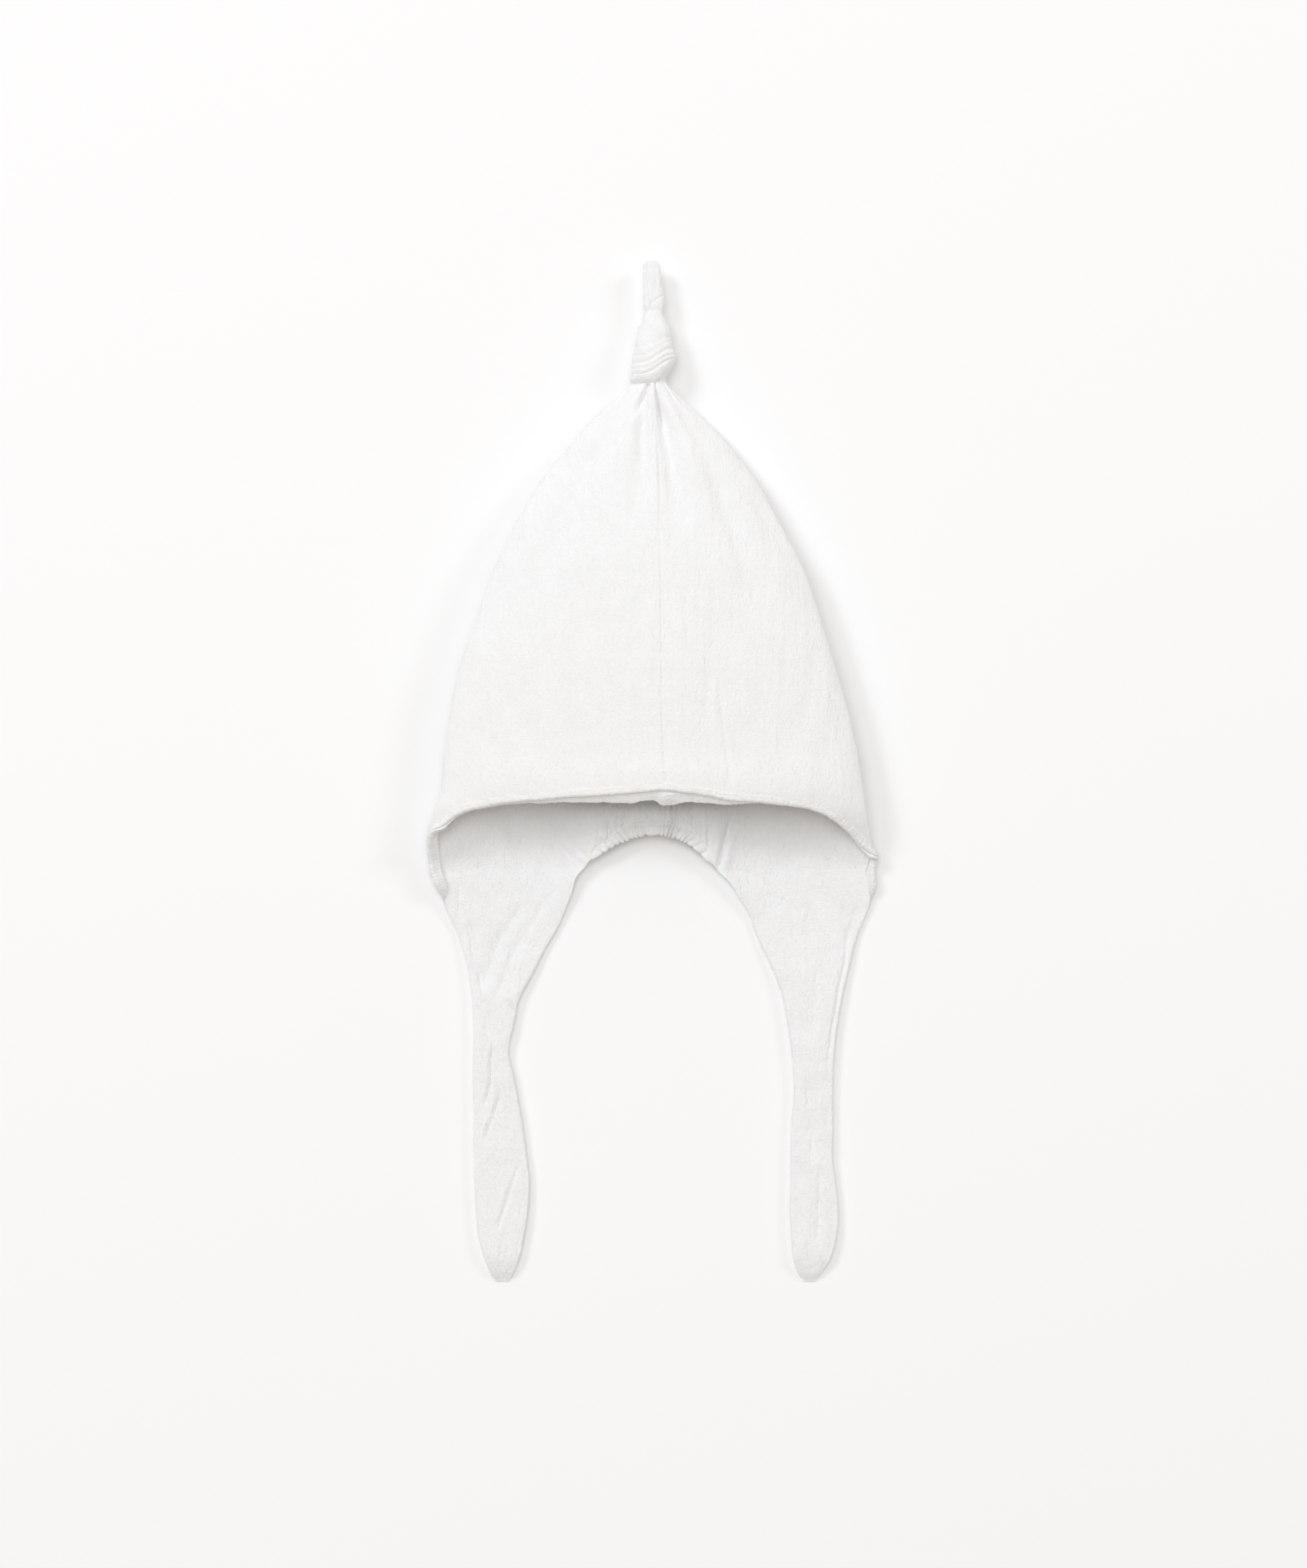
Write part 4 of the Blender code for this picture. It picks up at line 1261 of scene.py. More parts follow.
        in_nape = smooth((around - crown.corner) / 0.02)
        swell = self.ruffles.swell(x) - 0.45
        gathers = self.gather_depth * in_nape * swell * np.exp(-from_edge / self.gather_fades)
        shaped = outside + normals * (lift - gathers * in_nape)[..., None]
        thin = self.nape_thins * in_nape * (1 - smooth(from_edge / 0.0045))
        inside = shaped - normals * (crown.wall * (1 - thin))[..., None]
        off_seam = np.abs(x + 0.001) - self.allowance_half
        allowance = self.allowance_height * (1 - smooth(off_seam / 0.001)) * smooth(down / 0.3)
        inside[..., 2] += (allowance + self.nape_folds(outside)) * smooth((around - 0.6) / 0.1)
        shaped[..., 2] = np.maximum(shaped[..., 2], 0.0)
        inside[..., 2] = np.maximum(inside[..., 2], crown.wall * 0.5)
        return shaped, inside

    def build(self, material: bpy.types.Material) -> bpy.types.Object:
        """Builds the cloth as one closed skin: crown outside and in, and the strap's two faces.

        Args:
            material: the muslin.

        Returns:
            The piece.
        """
        crown, side = self.crown, self.side
        around = self.columns()
        edge = crown.edge_down(side, around)
        share = np.linspace(0, 1, self.crown_rows)[:, None] ** 1.12
        down = -crown.into_knot + (edge[None, :] + crown.into_knot) * share
        around = np.broadcast_to(around, down.shape)
        outside, reach = crown.surface(side, down, around)
        along = -outside[..., 1]
        shaped, inside = self._walls(down, around, outside, reach)

        skin = Skin()
        places = np.stack([reach, along], axis=-1)
        back_places = np.stack([outside[..., 0] + BACK_MAP_SHIFT, along], axis=-1)
        outer = skin.grid(shaped, places, back_places)
        inner = skin.grid(inside, places + crown.wall, back_places + crown.wall, self.inner_crinkle)
        fold = int(np.argmin(np.abs(around[0] - 0.5)))
        first = int(np.argmin(np.abs(around[0] - crown.ear)))
        last = int(np.argmin(np.abs(around[0] - crown.corner)))
        root = slice(first, last + 1)
        under, top = self._strap(outside[-1, root], shaped[-1, root], inside[-1, root])
        under_places = np.stack([under[..., 0] + BACK_MAP_SHIFT, -under[..., 1]], axis=-1)
        lower = np.concatenate([outer[-1:, root], skin.grid(under, under_places)])
        top_places = under_places + crown.wall
        upper = np.concatenate([inner[-1:, root], skin.grid(top, top_places, top_places, self.strap_crinkle)])

        for numbers in (outer, inner):
            skin.cover(numbers[:, : fold + 1])
            skin.cover(numbers[:, fold:], back=True)
        for numbers in (lower, upper):
            skin.cover(numbers, back=True)
        for line in (np.s_[0, :], np.s_[:, 0], np.s_[-1, : fold + 1]):
            skin.strip(outer[line], inner[line])
        for line in (np.s_[:, -1], np.s_[-1, fold : first + 1], np.s_[-1, last:]):
            skin.strip(outer[line], inner[line], back=True)
        for line in (np.s_[:, 0], np.s_[:, -1], np.s_[-1, :]):
            skin.strip(lower[line], upper[line], back=True)
        return skin.make("panel_" + side.value, material)

    def near_root(self, down: Array) -> Array:
        """How much the flap still keeps the crown's shape, from 1 at its root to 0."""
        return 1 - smooth(down / self.root_blend)

    def thickness(self, down: Array) -> Array:
        """Thickness of the flap and tie at a share down them."""
        wall = self.crown.wall
        full = wall + (self.tie_thickness - wall) * smooth(down / self.thickens_by)
        return full * (1 - 0.6 * smooth((down - 0.93) / 0.07))

    def _strap(self, root: Array, low: Array, high: Array) -> tuple[Array, Array]:
        """The under side and the top of the flap and tie, row by row below the crown's edge.

        Args:
            root: the crown's plain edge, from the flap's outer corner to its inner one.
            low: the same places on the crown's outer face.
            high: the same places on its inner face.

        Returns:
            The points of the under side and of the top.
        """
        crown = self.crown
        share = (root[:, 0] - root[0, 0]) / (root[-1, 0] - root[0, 0])
        share = np.clip(share, 0, 1)[None, :]
        down = (np.linspace(0, 1, self.strap_rows + 1)[1:] ** 0.97)[:, None]
        outer, inner = self.strap_edges(down, (float(root[0, 0]), float(root[-1, 0])))
        near_root = self.near_root(down)
        x = outer + (inner - outer) * share
        y = crown.flap_top_y - down * self.tie_length + (root[:, 1] - crown.flap_top_y) * near_root
        full = self.thickness(down)
        rounded = (1 - np.abs(2 * share - 1) ** 4.0) ** (1 / 4.0)
        at_edges = self.edge_share + (1 - self.edge_share) * rounded
        thick = full * (near_root + (1 - near_root) * at_edges)
        middle = full / 2 * (1 - near_root) + near_root * crown.wall / 2
        under = np.maximum(0, middle - thick / 2 * 1.05) + low[:, 2] * near_root
        tip = smooth((1 - down) / 0.02) * 0.8 + 0.2
        top = under + thick * tip
        top = top + (high[:, 2] - low[:, 2] - crown.wall) * (1 - smooth(down / 0.03))

        width = np.abs(inner - outer)
        lift = self.tie_crepe.heights(x, -y)
        broad = self.crepe.heights(x + BACK_SHIFT, -y)
        leaving = smooth(down / 0.10)
        lift = broad * (1 - leaving) * 0.7 + lift * leaving
        at_sides = smooth(np.minimum(share, 1 - share) * width / 0.003)
        dents = self.dents(np.broadcast_to(share, x.shape), np.broadcast_to(down, x.shape), width)
        lift = lift * (0.3 + 0.7 * at_sides) - dents
        top = np.maximum(top + lift * smooth(down / 0.01), under + self.thinnest)
        wave = Noise(71)(x / 0.004, y / 0.0032) * 0.00020 + Noise(72)(x / 0.002, y / 0.0013) * 0.00012
        x = x + wave * (1 - at_sides) * self.side.sign
        return np.stack([x, y, under], axis=-1), np.stack([x, y, top], axis=-1)

    def dress(self, piece: bpy.types.Object, slot: str) -> None:
        """Hides the frame's crown and ear tie of this side, and hangs the piece on the root body."""
        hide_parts("crown_" + self.side.value, "ear_tie_" + self.side.value)
        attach(piece, "root")


# Face hem and nape casing


def face_path(panel: Panel, count: int) -> tuple[Array, Array, Array]:
    """The line that one side's hem follows, from the front seam to its end on the flap.

    Args:
        panel: the side.
        count: how many places along the face edge.

    Returns:
        The points, the directions off the cloth and the directions up from it.
    """
    crown, side = panel.crown, panel.side
    around = crown.ear * np.linspace(0, 1, count) ** 0.9
    points, off, normal = crown.edge(side, around)
    turned = smooth((around / crown.ear - 0.88) / 0.12)[:, None]
    points = points - normal * (crown.wall / 2 * (1 - turned) - panel.hem_stands * turned)
    down = np.linspace(0, panel.hem_run / panel.tie_length, max(8, count // 10))[1:]
    corners, _, _ = crown.edge(side, np.array([crown.ear, crown.corner]))
    outer, _ = panel.strap_edges(down, (float(corners[0, 0]), float(corners[1, 0])))
    y = crown.flap_top_y - down * panel.tie_length
    near_root = panel.near_root(down)
    middle = panel.thickness(down) / 2 * (1 - near_root) + crown.wall / 2 * near_root
    run = np.stack([outer, y, points[-1, 2] * near_root + middle + panel.hem_rise], axis=-1)
    path = np.concatenate([points[:-1], run])
    turned = np.concatenate([turned[:-1], np.ones((len(run), 1))])
    tangents = unit(np.gradient(path, axis=0))
    outs = np.concatenate([off[:-1], np.repeat(off[-1:], len(run), axis=0)])
    outs = outs * (1 - turned) + np.array([side.sign, 0.0, 0.0]) * turned
    outs = unit(outs - tangents * np.sum(outs * tangents, axis=1, keepdims=True))
    return path, outs, np.cross(outs, tangents) * side.sign


class Lip(NamedTuple):
    """How far the turned-in side of the hem shows below the face edge, at a place across it."""

    x: float
    reach: float


@dataclass
class FaceHem:
    """The rolled hem of the face edge, whose inner side shows below its middle."""

    panels: tuple[Panel, Panel]
    width: float = 0.0036
    thickness: float = 0.0026
    onto_cloth: float = 0.0010
    onto_flap: float = 0.0017
    end_run: float = 0.0125
    end_sinks: float = 0.0013
    readings: int = 200
    spacing: float = 0.00038
    ease: float = 0.0032
    rib_pitch: float = 0.0011
    rib_depth: float = 0.00022
    pucker: float = 0.00030
    stitch_from_edge: float = 0.0022
    stitch_sinks: float = 0.00022
    stitch_margin: int = 12
    groove_half: float = 0.0004
    groove_depth: float = 0.00030
    rim_groove_depth: float = 0.0009
    rim_groove_at: float = 0.0009
    rim_groove_half: float = 0.0006
    rim_inner_run: float = 0.0014
    ear_from: float = 0.088
    ear_run: float = 0.014
    lip_radius: float = 0.00055
    lump_radius: float = 0.0004
    lips: tuple[Lip, ...] = (
        Lip(-0.0900, 0.0000),
        Lip(-0.0640, 0.0008),
        Lip(-0.0400, 0.0022),
        Lip(-0.0240, 0.0034),
        Lip(-0.0120, 0.0042),
        Lip(-0.0010, 0.0044),
        Lip(0.0030, 0.0056),
        Lip(0.0110, 0.0056),
        Lip(0.0150, 0.0043),
        Lip(0.0200, 0.0037),
        Lip(0.0330, 0.0024),
        Lip(0.0440, 0.0010),
        Lip(0.0560, 0.0000),
        Lip(0.0700, 0.0000),
    )
    lump_x: float = 0.0066
    lump_half: float = 0.0058
    lump_height: float = 0.0011
    flat_size: tuple[float, float] = (0.010, 0.290)
    flat_area: float = 0.0026

    def path(self) -> list[Array]:
        """The hem's line from the left flap over the brow to the right one."""
        left, right = (face_path(panel, self.readings) for panel in self.panels)
        parts = [np.concatenate([a[:0:-1], (a[:1] + b[:1]) / 2, b[1:]]) for a, b in zip(left, right)]
        path, outs, ups = even_path(parts, self.spacing)
        path = eased(path, self.ease / self.spacing)
        outs, ups = (unit(eased(part, 1.6 * self.ease / self.spacing)) for part in (outs, ups))
        return [path, outs, ups]

    def build(self, material: bpy.types.Material) -> bpy.types.Object:
        """Builds the hem as one tube with its lip.

        Args:
            material: the muslin.

        Returns:
            The piece.
        """
        path, outs, ups = self.path()
        count = len(path)
        run = np.arange(count) * self.spacing
        x = path[:, 0]
        lip = np.maximum(through(self.lips, "x", "reach", x), 0.0)
        lip = lip * (1 + 0.18 * Noise(51)(x / 0.006, 0.5)) + 0.00015
        lump = bump(x, self.lump_x, self.lump_half)
        from_end = np.minimum(run, run[-1] - run)
        ends = smooth(from_end / self.end_run)[:, None]
        at_ear = smooth((np.abs(x) - self.ear_from) / self.ear_run)[:, None]
        onto = self.onto_cloth + (self.onto_flap - self.onto_cloth) * at_ear

        arc = np.radians(np.linspace(200, -20, 15))[None, :]
        out = self.width / 2 * (1 + np.cos(arc)) + onto * np.minimum(np.cos(arc), 0)
        up = np.sin(arc) * self.thickness / 2 * np.ones((count, 1))
        strip = np.linspace(0.08, 1, 7)[None, :]
        lip_out = out[:, -1:] - 0.0003 + lip[:, None] * strip
        lip_up = up[:, -1:] - 0.0004 - 0.42 * lip[:, None] * strip**1.3
        lip_up = lip_up + self.lump_height * lump[:, None] * np.sin(np.pi * strip) ** 0.7
        edge_turn = np.radians(np.array([40, 0, -40, -80]))[None, :]
        edge_radius = self.lip_radius + self.lump_radius * lump[:, None]
        edge_out = lip_out[:, -1:] + edge_radius * np.cos(edge_turn) * 1.1
        edge_up = lip_up[:, -1:] - edge_radius + edge_radius * np.sin(edge_turn)
        back = np.linspace(0.88, 0.06, 9)[None, :]
        back_out = out[:, :1] + (edge_out[:, -1:] - out[:, :1]) * back
        back_up = edge_up[:, -1:] * back + (up[:, :1] - self.thickness / 2 * np.sin(np.pi * back) ** 0.6)
        out = np.concatenate([out, lip_out, edge_out, back_out], axis=1)
        up = np.concatenate([up, lip_up, edge_up, back_up], axis=1)

        ribs = Noise(53)(run[:, None] / self.rib_pitch, out / 0.004, 0.3)
        pucker = Noise(54)(run[:, None] / 0.0055, out / 0.008, 0.7)
        up = up + self.rib_depth * ribs + self.pucker * pucker * ends
        rough = Noise(55)(run / 0.0016, 0.2) * 0.00022 + Noise(56)(run / 0.007, 0.4) * 0.00025
        out = out + rough[:, None] * smooth(out / 0.003)
        groove = bump(out - self.width, -self.stitch_from_edge, self.groove_half) * (up > 0)
        rim_groove = bump(out, self.rim_groove_at, self.rim_groove_half) * (up < 0) * at_ear
        rim_inner = smooth((self.rim_groove_at - out) / self.rim_inner_run) * (up < 0) * at_ear
        up = up - self.groove_depth * groove + self.rim_groove_depth * rim_groove
        up = up * (1 - 0.50 * rim_inner)
        out = out * np.where(out > 0, 0.05 + 0.95 * ends, 0.45 + 0.55 * ends)
        rings = path[:, None] + out[..., None] * outs[:, None]
        rings = rings + up[..., None] * ups[:, None] * (0.1 + 0.9 * ends[..., None])
        rings[..., 2] = np.maximum(rings[..., 2] - self.end_sinks * (1 - ends), 0.0)
        return tube("face_hem", rings, tube_places(rings), material)

    def stitch_line(self) -> Array:
        """The line of the hem's topstitching, on its upper face."""
        path, outs, ups = self.path()
        wander = Noise(57)(np.arange(len(path)) / 60, 0.5)[:, None] * 0.00022
        middle = self.width - self.stitch_from_edge
        height = self.thickness / 2 * 0.93 - self.stitch_sinks
        line = path + outs * (middle + wander) + ups * height
        return line[self.stitch_margin : -self.stitch_margin]

    def dress(self, piece: bpy.types.Object, stitches: bpy.types.Object, slot: str) -> None:
        """Hides the frame's front hem, and hangs the hem and its stitches on the root body."""
        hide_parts("front_hem")
        for part in (piece, stitches):
            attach(part, "root")


@dataclass
class NapeCasing:
    """The gathered casing of the nape, with its elastic inside."""

    panels: tuple[Panel, Panel]
    ruffles: Ruffles
    width: float = 0.0088
    thickness: float = 0.0046
    narrows: float = 0.55
    taper: float = 0.16
    sides: int = 36
    spacing: float = 0.00019
    stitch_at: float = 0.0013
    root: float = 0.0014
    fullest: float = 0.75
    pinch_half: float = 0.0006
    pinch: float = 0.5
    ends_left_out: float = 0.012
    above_floor: float = 0.0004
    stitch_margin: int = 14
    flat_size: tuple[float, float] = (0.010, 0.085)
    flat_area: float = 0.00075

    def path(self) -> list[Array]:
        """The nape's line from the left corner to the right one."""
        groups = []
        for panel in self.panels:
            crown = panel.crown
            around = np.linspace(crown.corner, 1, 60)
            points, off, normal = crown.edge(panel.side, around)
            group = (points - normal * crown.wall / 2, off, normal)
            groups.append(group if panel.side is Side.LEFT else tuple(values[::-1][1:] for values in group))
        parts = [np.concatenate(pair) for pair in zip(*groups)]
        path, outs, ups = even_path(parts, self.spacing)
        margin = round(len(path) * self.ends_left_out)
        keep = slice(margin, -margin)
        return [path[keep], unit(outs)[keep], unit(ups)[keep]]

    def sizes(self, count: int) -> tuple[Array, Array]:
        """The casing's width and thickness at each place along it."""
        place = np.linspace(-1, 1, count)
        width = self.width * (1 - self.narrows * smooth((np.abs(place) - 0.25) / 0.75))
        closed = smooth((1 - np.abs(place)) / self.taper)
        return width * (0.30 + 0.70 * closed), self.thickness * (1 - 0.45 * place**2) * (0.25 + 0.75 * closed)

    def build(self, material: bpy.types.Material) -> bpy.types.Object:
        """Builds the casing as one tube that swells at each ruffle.

        Args:
            material: the muslin.

        Returns:
            The piece.
        """
        path, outs, ups = self.path()
        width, thick = self.sizes(len(path))
        turn = np.linspace(np.pi / 2, 2.5 * np.pi, self.sides, endpoint=False)[None, :]
        share = (np.sign(np.cos(turn)) * np.abs(np.cos(turn)) ** 0.8 + 1) / 2
        lean = 0.75 * Noise(61)(path[:, :1] / 0.008, 0.5) * (share - 0.3) + path[:, :1] / 0.033 * 0.4 * share
        swell = self.ruffles.swell(np.broadcast_to(path[:, :1], (len(path), self.sides)), lean)
        swell = 1 - self.fullest + self.fullest * swell
        out = share * width[:, None] * (0.80 + 0.25 * swell * smooth(share)) - self.root
        pinch = 1 - self.pinch * bump(out, self.stitch_at, self.pinch_half)
        up = np.sign(np.sin(turn)) * np.abs(np.sin(turn)) ** 0.75 * thick[:, None] / 2
        rooted = 0.12 + 0.88 * smooth((out + self.root) / 0.0026)
        up = up * (0.05 + 1.15 * swell**1.3) * pinch * rooted
        up = up + Noise(62)(path[:, :1] / 0.0011, out / 0.0030, np.sin(turn)) * 0.00012
        rings = path[:, None] + out[..., None] * outs[:, None] + up[..., None] * ups[:, None]
        rings[..., 2] = np.maximum(rings[..., 2], self.above_floor)
        return tube("nape_gathers", rings, tube_places(rings), material)

    def stitch_line(self) -> Array:
        """The line of the casing's stitching, sunk between the ruffles."""
        path, outs, ups = self.path()
        _, thick = self.sizes(len(path))
        swell = self.ruffles.swell(path[:, 0])
        swell = 1 - self.fullest + self.fullest * swell
        height = thick / 2 * (0.42 + 0.68 * swell) * 0.55
        line = path + outs * self.stitch_at + ups * height[:, None]
        return line[self.stitch_margin : -self.stitch_margin]

    def dress(self, piece: bpy.types.Object, stitches: bpy.types.Object, slot: str) -> None:
        """Hides the frame's nape casing, and hangs the casing and its stitches on the root body."""
        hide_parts("nape_casing")
        for part in (piece, stitches):
            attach(part, "root")


# Knot and tail


@dataclass
class Knot:
    """The peak of the cap tied in a knot, with the end of the cloth standing out of it."""

    base_y: float
    neck_x: float = -0.0006
    length: float = 0.0352
    width: float = 0.0216
    thickness: float = 0.0180
    tail_length: float = 0.0254
    tail_width: float = 0.0104
    tail_thickness: float = 0.0056
    tucked: float = 0.0006
    rows: int = 190
    sides: int = 150
    tail_rows: int = 130
    tail_sides: int = 84
    lip_rise: float = 0.0070
    lower: float = 0.0018
    crepe: Crepe = KNOT_CREPE
    waver: float = 0.012
    fold_x: float = -0.0021
    fold_sway: float = 0.0007
    fold_step: float = 0.0004
    ditch_depth: float = 0.00015
    hollow_depth: float = 0.0003
    dent_depth: float = 0.0004
    end_droop: float = 0.0012
    flat_size: tuple[float, float] = (0.034, 0.040)
    flat_area: float = 0.0012
    tail_flat_size: tuple[float, float] = (0.0200, 0.0260)
    tail_flat_area: float = 0.0003

    def _rings(
        self, bulges: Sequence[Bulge], along: Array, sides: int, width: float, thickness: float, square: float
    ) -> Array:
        """Rounded sections on a line that runs along the cap, without their place along it.

        Args:
            bulges: the table of sizes along the piece.
            along: places along it, from 0 to 1.
            sides: how many points round each section.
            width: its width, which the table's half widths are shares of.
            thickness: its thickness, likewise.
            square: 1 for oval sections, less for squarer ones.

        Returns:
            The points, section by section.
        """
        turns = np.linspace(-np.pi / 2, 3 * np.pi / 2, sides, endpoint=False)[None, :]
        out, up = np.cos(turns), np.sin(turns)
        left, right, thick = (through(bulges, "along", name, along)[:, None] for name in Bulge._fields[1:])
        x = np.where(out > 0, right, left) * width * np.sign(out) * np.abs(out) ** square
        z = thickness / 2 * thick * np.sign(up) * np.abs(up) ** square
        return np.stack([x, np.zeros_like(x), z], axis=-1)

    def build(self, material: bpy.types.Material) -> bpy.types.Object:
        """Builds the knot: a pear with the turns of its cloth, and a rounded lower lip.

        Args:
            material: the muslin.

        Returns:
            The piece.
        """
        along = np.linspace(0, 1, self.rows) ** 1.15
        rings = self._rings(KNOT_BULGES, along, self.sides, self.width, self.thickness, 0.9)
        across = rings[..., 0] / (self.width / 2)
        shrink = np.ones_like(across)
        for wrap in KNOT_WRAPS:
            waver = self.waver * Noise(31)(across * 2.2, wrap.start * 9)
            line = wrap.start + wrap.rise * smooth((across + 0.5) / 1.5) + waver
            away = (along[:, None] - line) / wrap.width
            step = np.where(away > 0, np.exp(-(away**2) * 0.5), np.exp(-(away**2) * 6.0))
            shrink -= wrap.depth * (step - 0.35 * bump(away, -2.4, 1.6))
        lip = np.sqrt(np.clip(along / 0.10, 0, 1))[:, None]
        shrink *= 0.80 + 0.20 * lip
        rings[..., 0] *= shrink
        rings[..., 2] *= shrink
        rise = self.lip_rise * np.clip((across - 0.10) / 0.9, 0, 1) ** 1.4
        rise = rise * (1 - smooth(along[:, None] / 0.5))
        rings[..., 1] = self.base_y - self.lower + along[:, None] * (self.length + self.lower) + rise
        rings += [self.neck_x, 0.0, self.thickness / 2]
        normals = grid_normals(rings)
        from_middle = rings - rings.mean(axis=1, keepdims=True)
        outward = np.sign(np.sum(normals * from_middle, axis=-1, keepdims=True))
        slant = rings[..., 0] + 0.45 * rings[..., 1]
        lift = self.crepe.heights(slant, rings[..., 1] - 0.4 * rings[..., 0], rings[..., 2])
        ends = smooth(np.minimum(along, 1 - along) / 0.05)[:, None]
        rings += normals * outward * (lift * ends)[..., None]
        rings[..., 2] = np.maximum(rings[..., 2], 0.0)
        return tube("peak_knot", rings, tube_places(rings), material)

    def build_tail(self, material: bpy.types.Material) -> bpy.types.Object:
        """Builds the tail: a flat strip of the peak's cloth, folded over along its left side.

        Args:
            material: the muslin.

        Returns:
            The piece.
        """
        along = np.linspace(0, 1, self.tail_rows)
        rings = self._rings(TAIL_BULGES, along, self.tail_sides, self.tail_width, self.tail_thickness, 0.8)
        x, up = rings[..., 0].copy(), rings[..., 2]
        line = self.fold_x + self.fold_sway * np.sin(along * 5 + 1)[:, None]
        upper = up > 0
        folded = smooth((line - x) / 0.00035) * upper * smooth((along - 0.04) / 0.1)[:, None]
        ditch = bump(x - line, 0.0002, 0.0003) * upper
        hollow = bump(x, 0.0016, 0.0009) * upper * smooth((along - 0.25) / 0.3)[:, None]
        dent = bump(along[:, None] - 0.20, 0.055 * (x / 0.002), 0.022) * (x > -0.001) * upper
        relief = up + self.fold_step * folded - self.ditch_depth * ditch
        rings[..., 2] = relief - self.hollow_depth * hollow - self.dent_depth * dent
        rings[..., 1] = self.base_y + self.length - self.tucked
        rings[..., 1] += along[:, None] * (self.tail_length + self.tucked)
        rings[..., 1] -= self.end_droop * smooth((along - 0.9) / 0.1)[:, None] * (x / 0.004) ** 2
        rings += [self.neck_x, 0.0, self.thickness / 2]
        lift = self.crepe.heights(rings[..., 0] * 1.3, rings[..., 1], rings[..., 2] * 0.5)
        ends = smooth(np.minimum(along, 1 - along) / 0.06)[:, None]
        rings[..., 2] += lift * ends * np.sign(up)
        return tube("peak_tail", rings, tube_places(rings), material)

    def dress(self, knot: bpy.types.Object, tail: bpy.types.Object, slot: str) -> None:
        """Hides the frame's knot and tail, and hangs the knot and its tail on the root body."""
        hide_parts("top_knot")
        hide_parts("knot_tail")
        for part in (knot, tail):
            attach(part, "root")


# Stitches


@dataclass
class StitchRow:
    """A row of straight stitches along a line, made by Geometry Nodes."""

    name: str
    pitch: float = 0.0026
    length: float = 0.0019
    radius: float = 0.00019
    waver: float = 0.10
    seed: int = 5

    def tree(self) -> bpy.types.NodeTree:
        """Builds the tree: a stitch on each place along the line, turned along it."""
        tree = bpy.data.node_groups.new(self.name, "GeometryNodeTree")
        names = ("Line", "Pitch", "Stitch", "Seed", "Thread")
        kinds = ("Geometry", "Float", "Vector", "Int", "Material")
        for name, kind in zip(names, kinds):
            tree.interface.new_socket(name, in_out="INPUT", socket_type="NodeSocket" + kind)
        tree.interface.new_socket("Stitches", in_out="OUTPUT", socket_type="NodeSocketGeometry")

        def add(kind: str, links: dict[Any, Any], **settings: Any) -> bpy.types.NodeOutputs:
            """Adds a node, and returns its outputs.

            Args:
                kind: the node's type.
                links: sockets or values, by the input's name or place.
                settings: its own settings, set first.

            Returns:
                The outputs.
            """
            node = tree.nodes.new(kind)
            for key, value in settings.items():
                setattr(node, key, value)
            for key, value in links.items():
                if isinstance(value, bpy.types.NodeSocket):
                    tree.links.new(value, node.inputs[key])
                else:
                    node.inputs[key].default_value = value
            return node.outputs

        given = add("NodeGroupInput", {})
        curve = add("GeometryNodeMeshToCurve", {0: given["Line"]})[0]
        spots = add("GeometryNodeCurveToPoints", {"Curve": curve, "Length": given["Pitch"]}, mode="LENGTH")
        ball = add("GeometryNodeMeshUVSphere", {"Segments": 8, "Rings": 6, "Radius": 1.0})[0]
        stitch = add("GeometryNodeTransform", {"Geometry": ball, "Scale": given["Stitch"]})[0]
        low, high = (-self.waver, -self.waver, 0.0), (self.waver, self.waver, 0.0)
        limits = {"Min": low, "Max": high, "Seed": given["Seed"]}
        jitter = add("FunctionNodeRandomValue", limits, data_type="FLOAT_VECTOR")[0]
        turn = add("FunctionNodeEulerToRotation", {0: jitter})[0]
        aimed = add("FunctionNodeRotateRotation", {0: spots["Rotation"], 1: turn}, rotation_space="LOCAL")[0]
        places = {"Points": spots["Points"], "Instance": stitch, "Rotation": aimed}
        row = add("GeometryNodeInstanceOnPoints", places)[0]
        real = add("GeometryNodeRealizeInstances", {"Geometry": row})[0]
        dressed = add("GeometryNodeSetMaterial", {"Geometry": real, "Material": given["Thread"]})[0]
        add("NodeGroupOutput", {0: dressed})
        return tree

    def build(self, line: Array, thread: bpy.types.Material) -> bpy.types.Object:
        """Builds the row as a plain mesh.

        Args:
            line: the points that the stitches follow.
            thread: their finish.

        Returns:
            The piece.
        """
        mesh = bpy.data.meshes.new(self.name)
        edges = [(i, i + 1) for i in range(len(line) - 1)]
        mesh.from_pydata(line.tolist(), edges, [])
        guide = bpy.data.objects.new(self.name, mesh)
        bpy.context.scene.collection.objects.link(guide)
        modifier = guide.modifiers.new("stitches", "NODES")
        modifier.node_group = self.tree()
        names = {item.name: item.identifier for item in modifier.node_group.interface.items_tree}
        modifier[names["Pitch"]] = self.pitch
        modifier[names["Stitch"]] = (self.radius, self.radius, self.length / 2)
        modifier[names["Seed"]] = self.seed
        modifier[names["Thread"]] = thread
        seen = guide.evaluated_get(bpy.context.evaluated_depsgraph_get())
        made = bpy.data.meshes.new_from_object(seen)
        guide.modifiers.clear()
        guide.data = made
        made.shade_smooth()
        return guide


# Stage


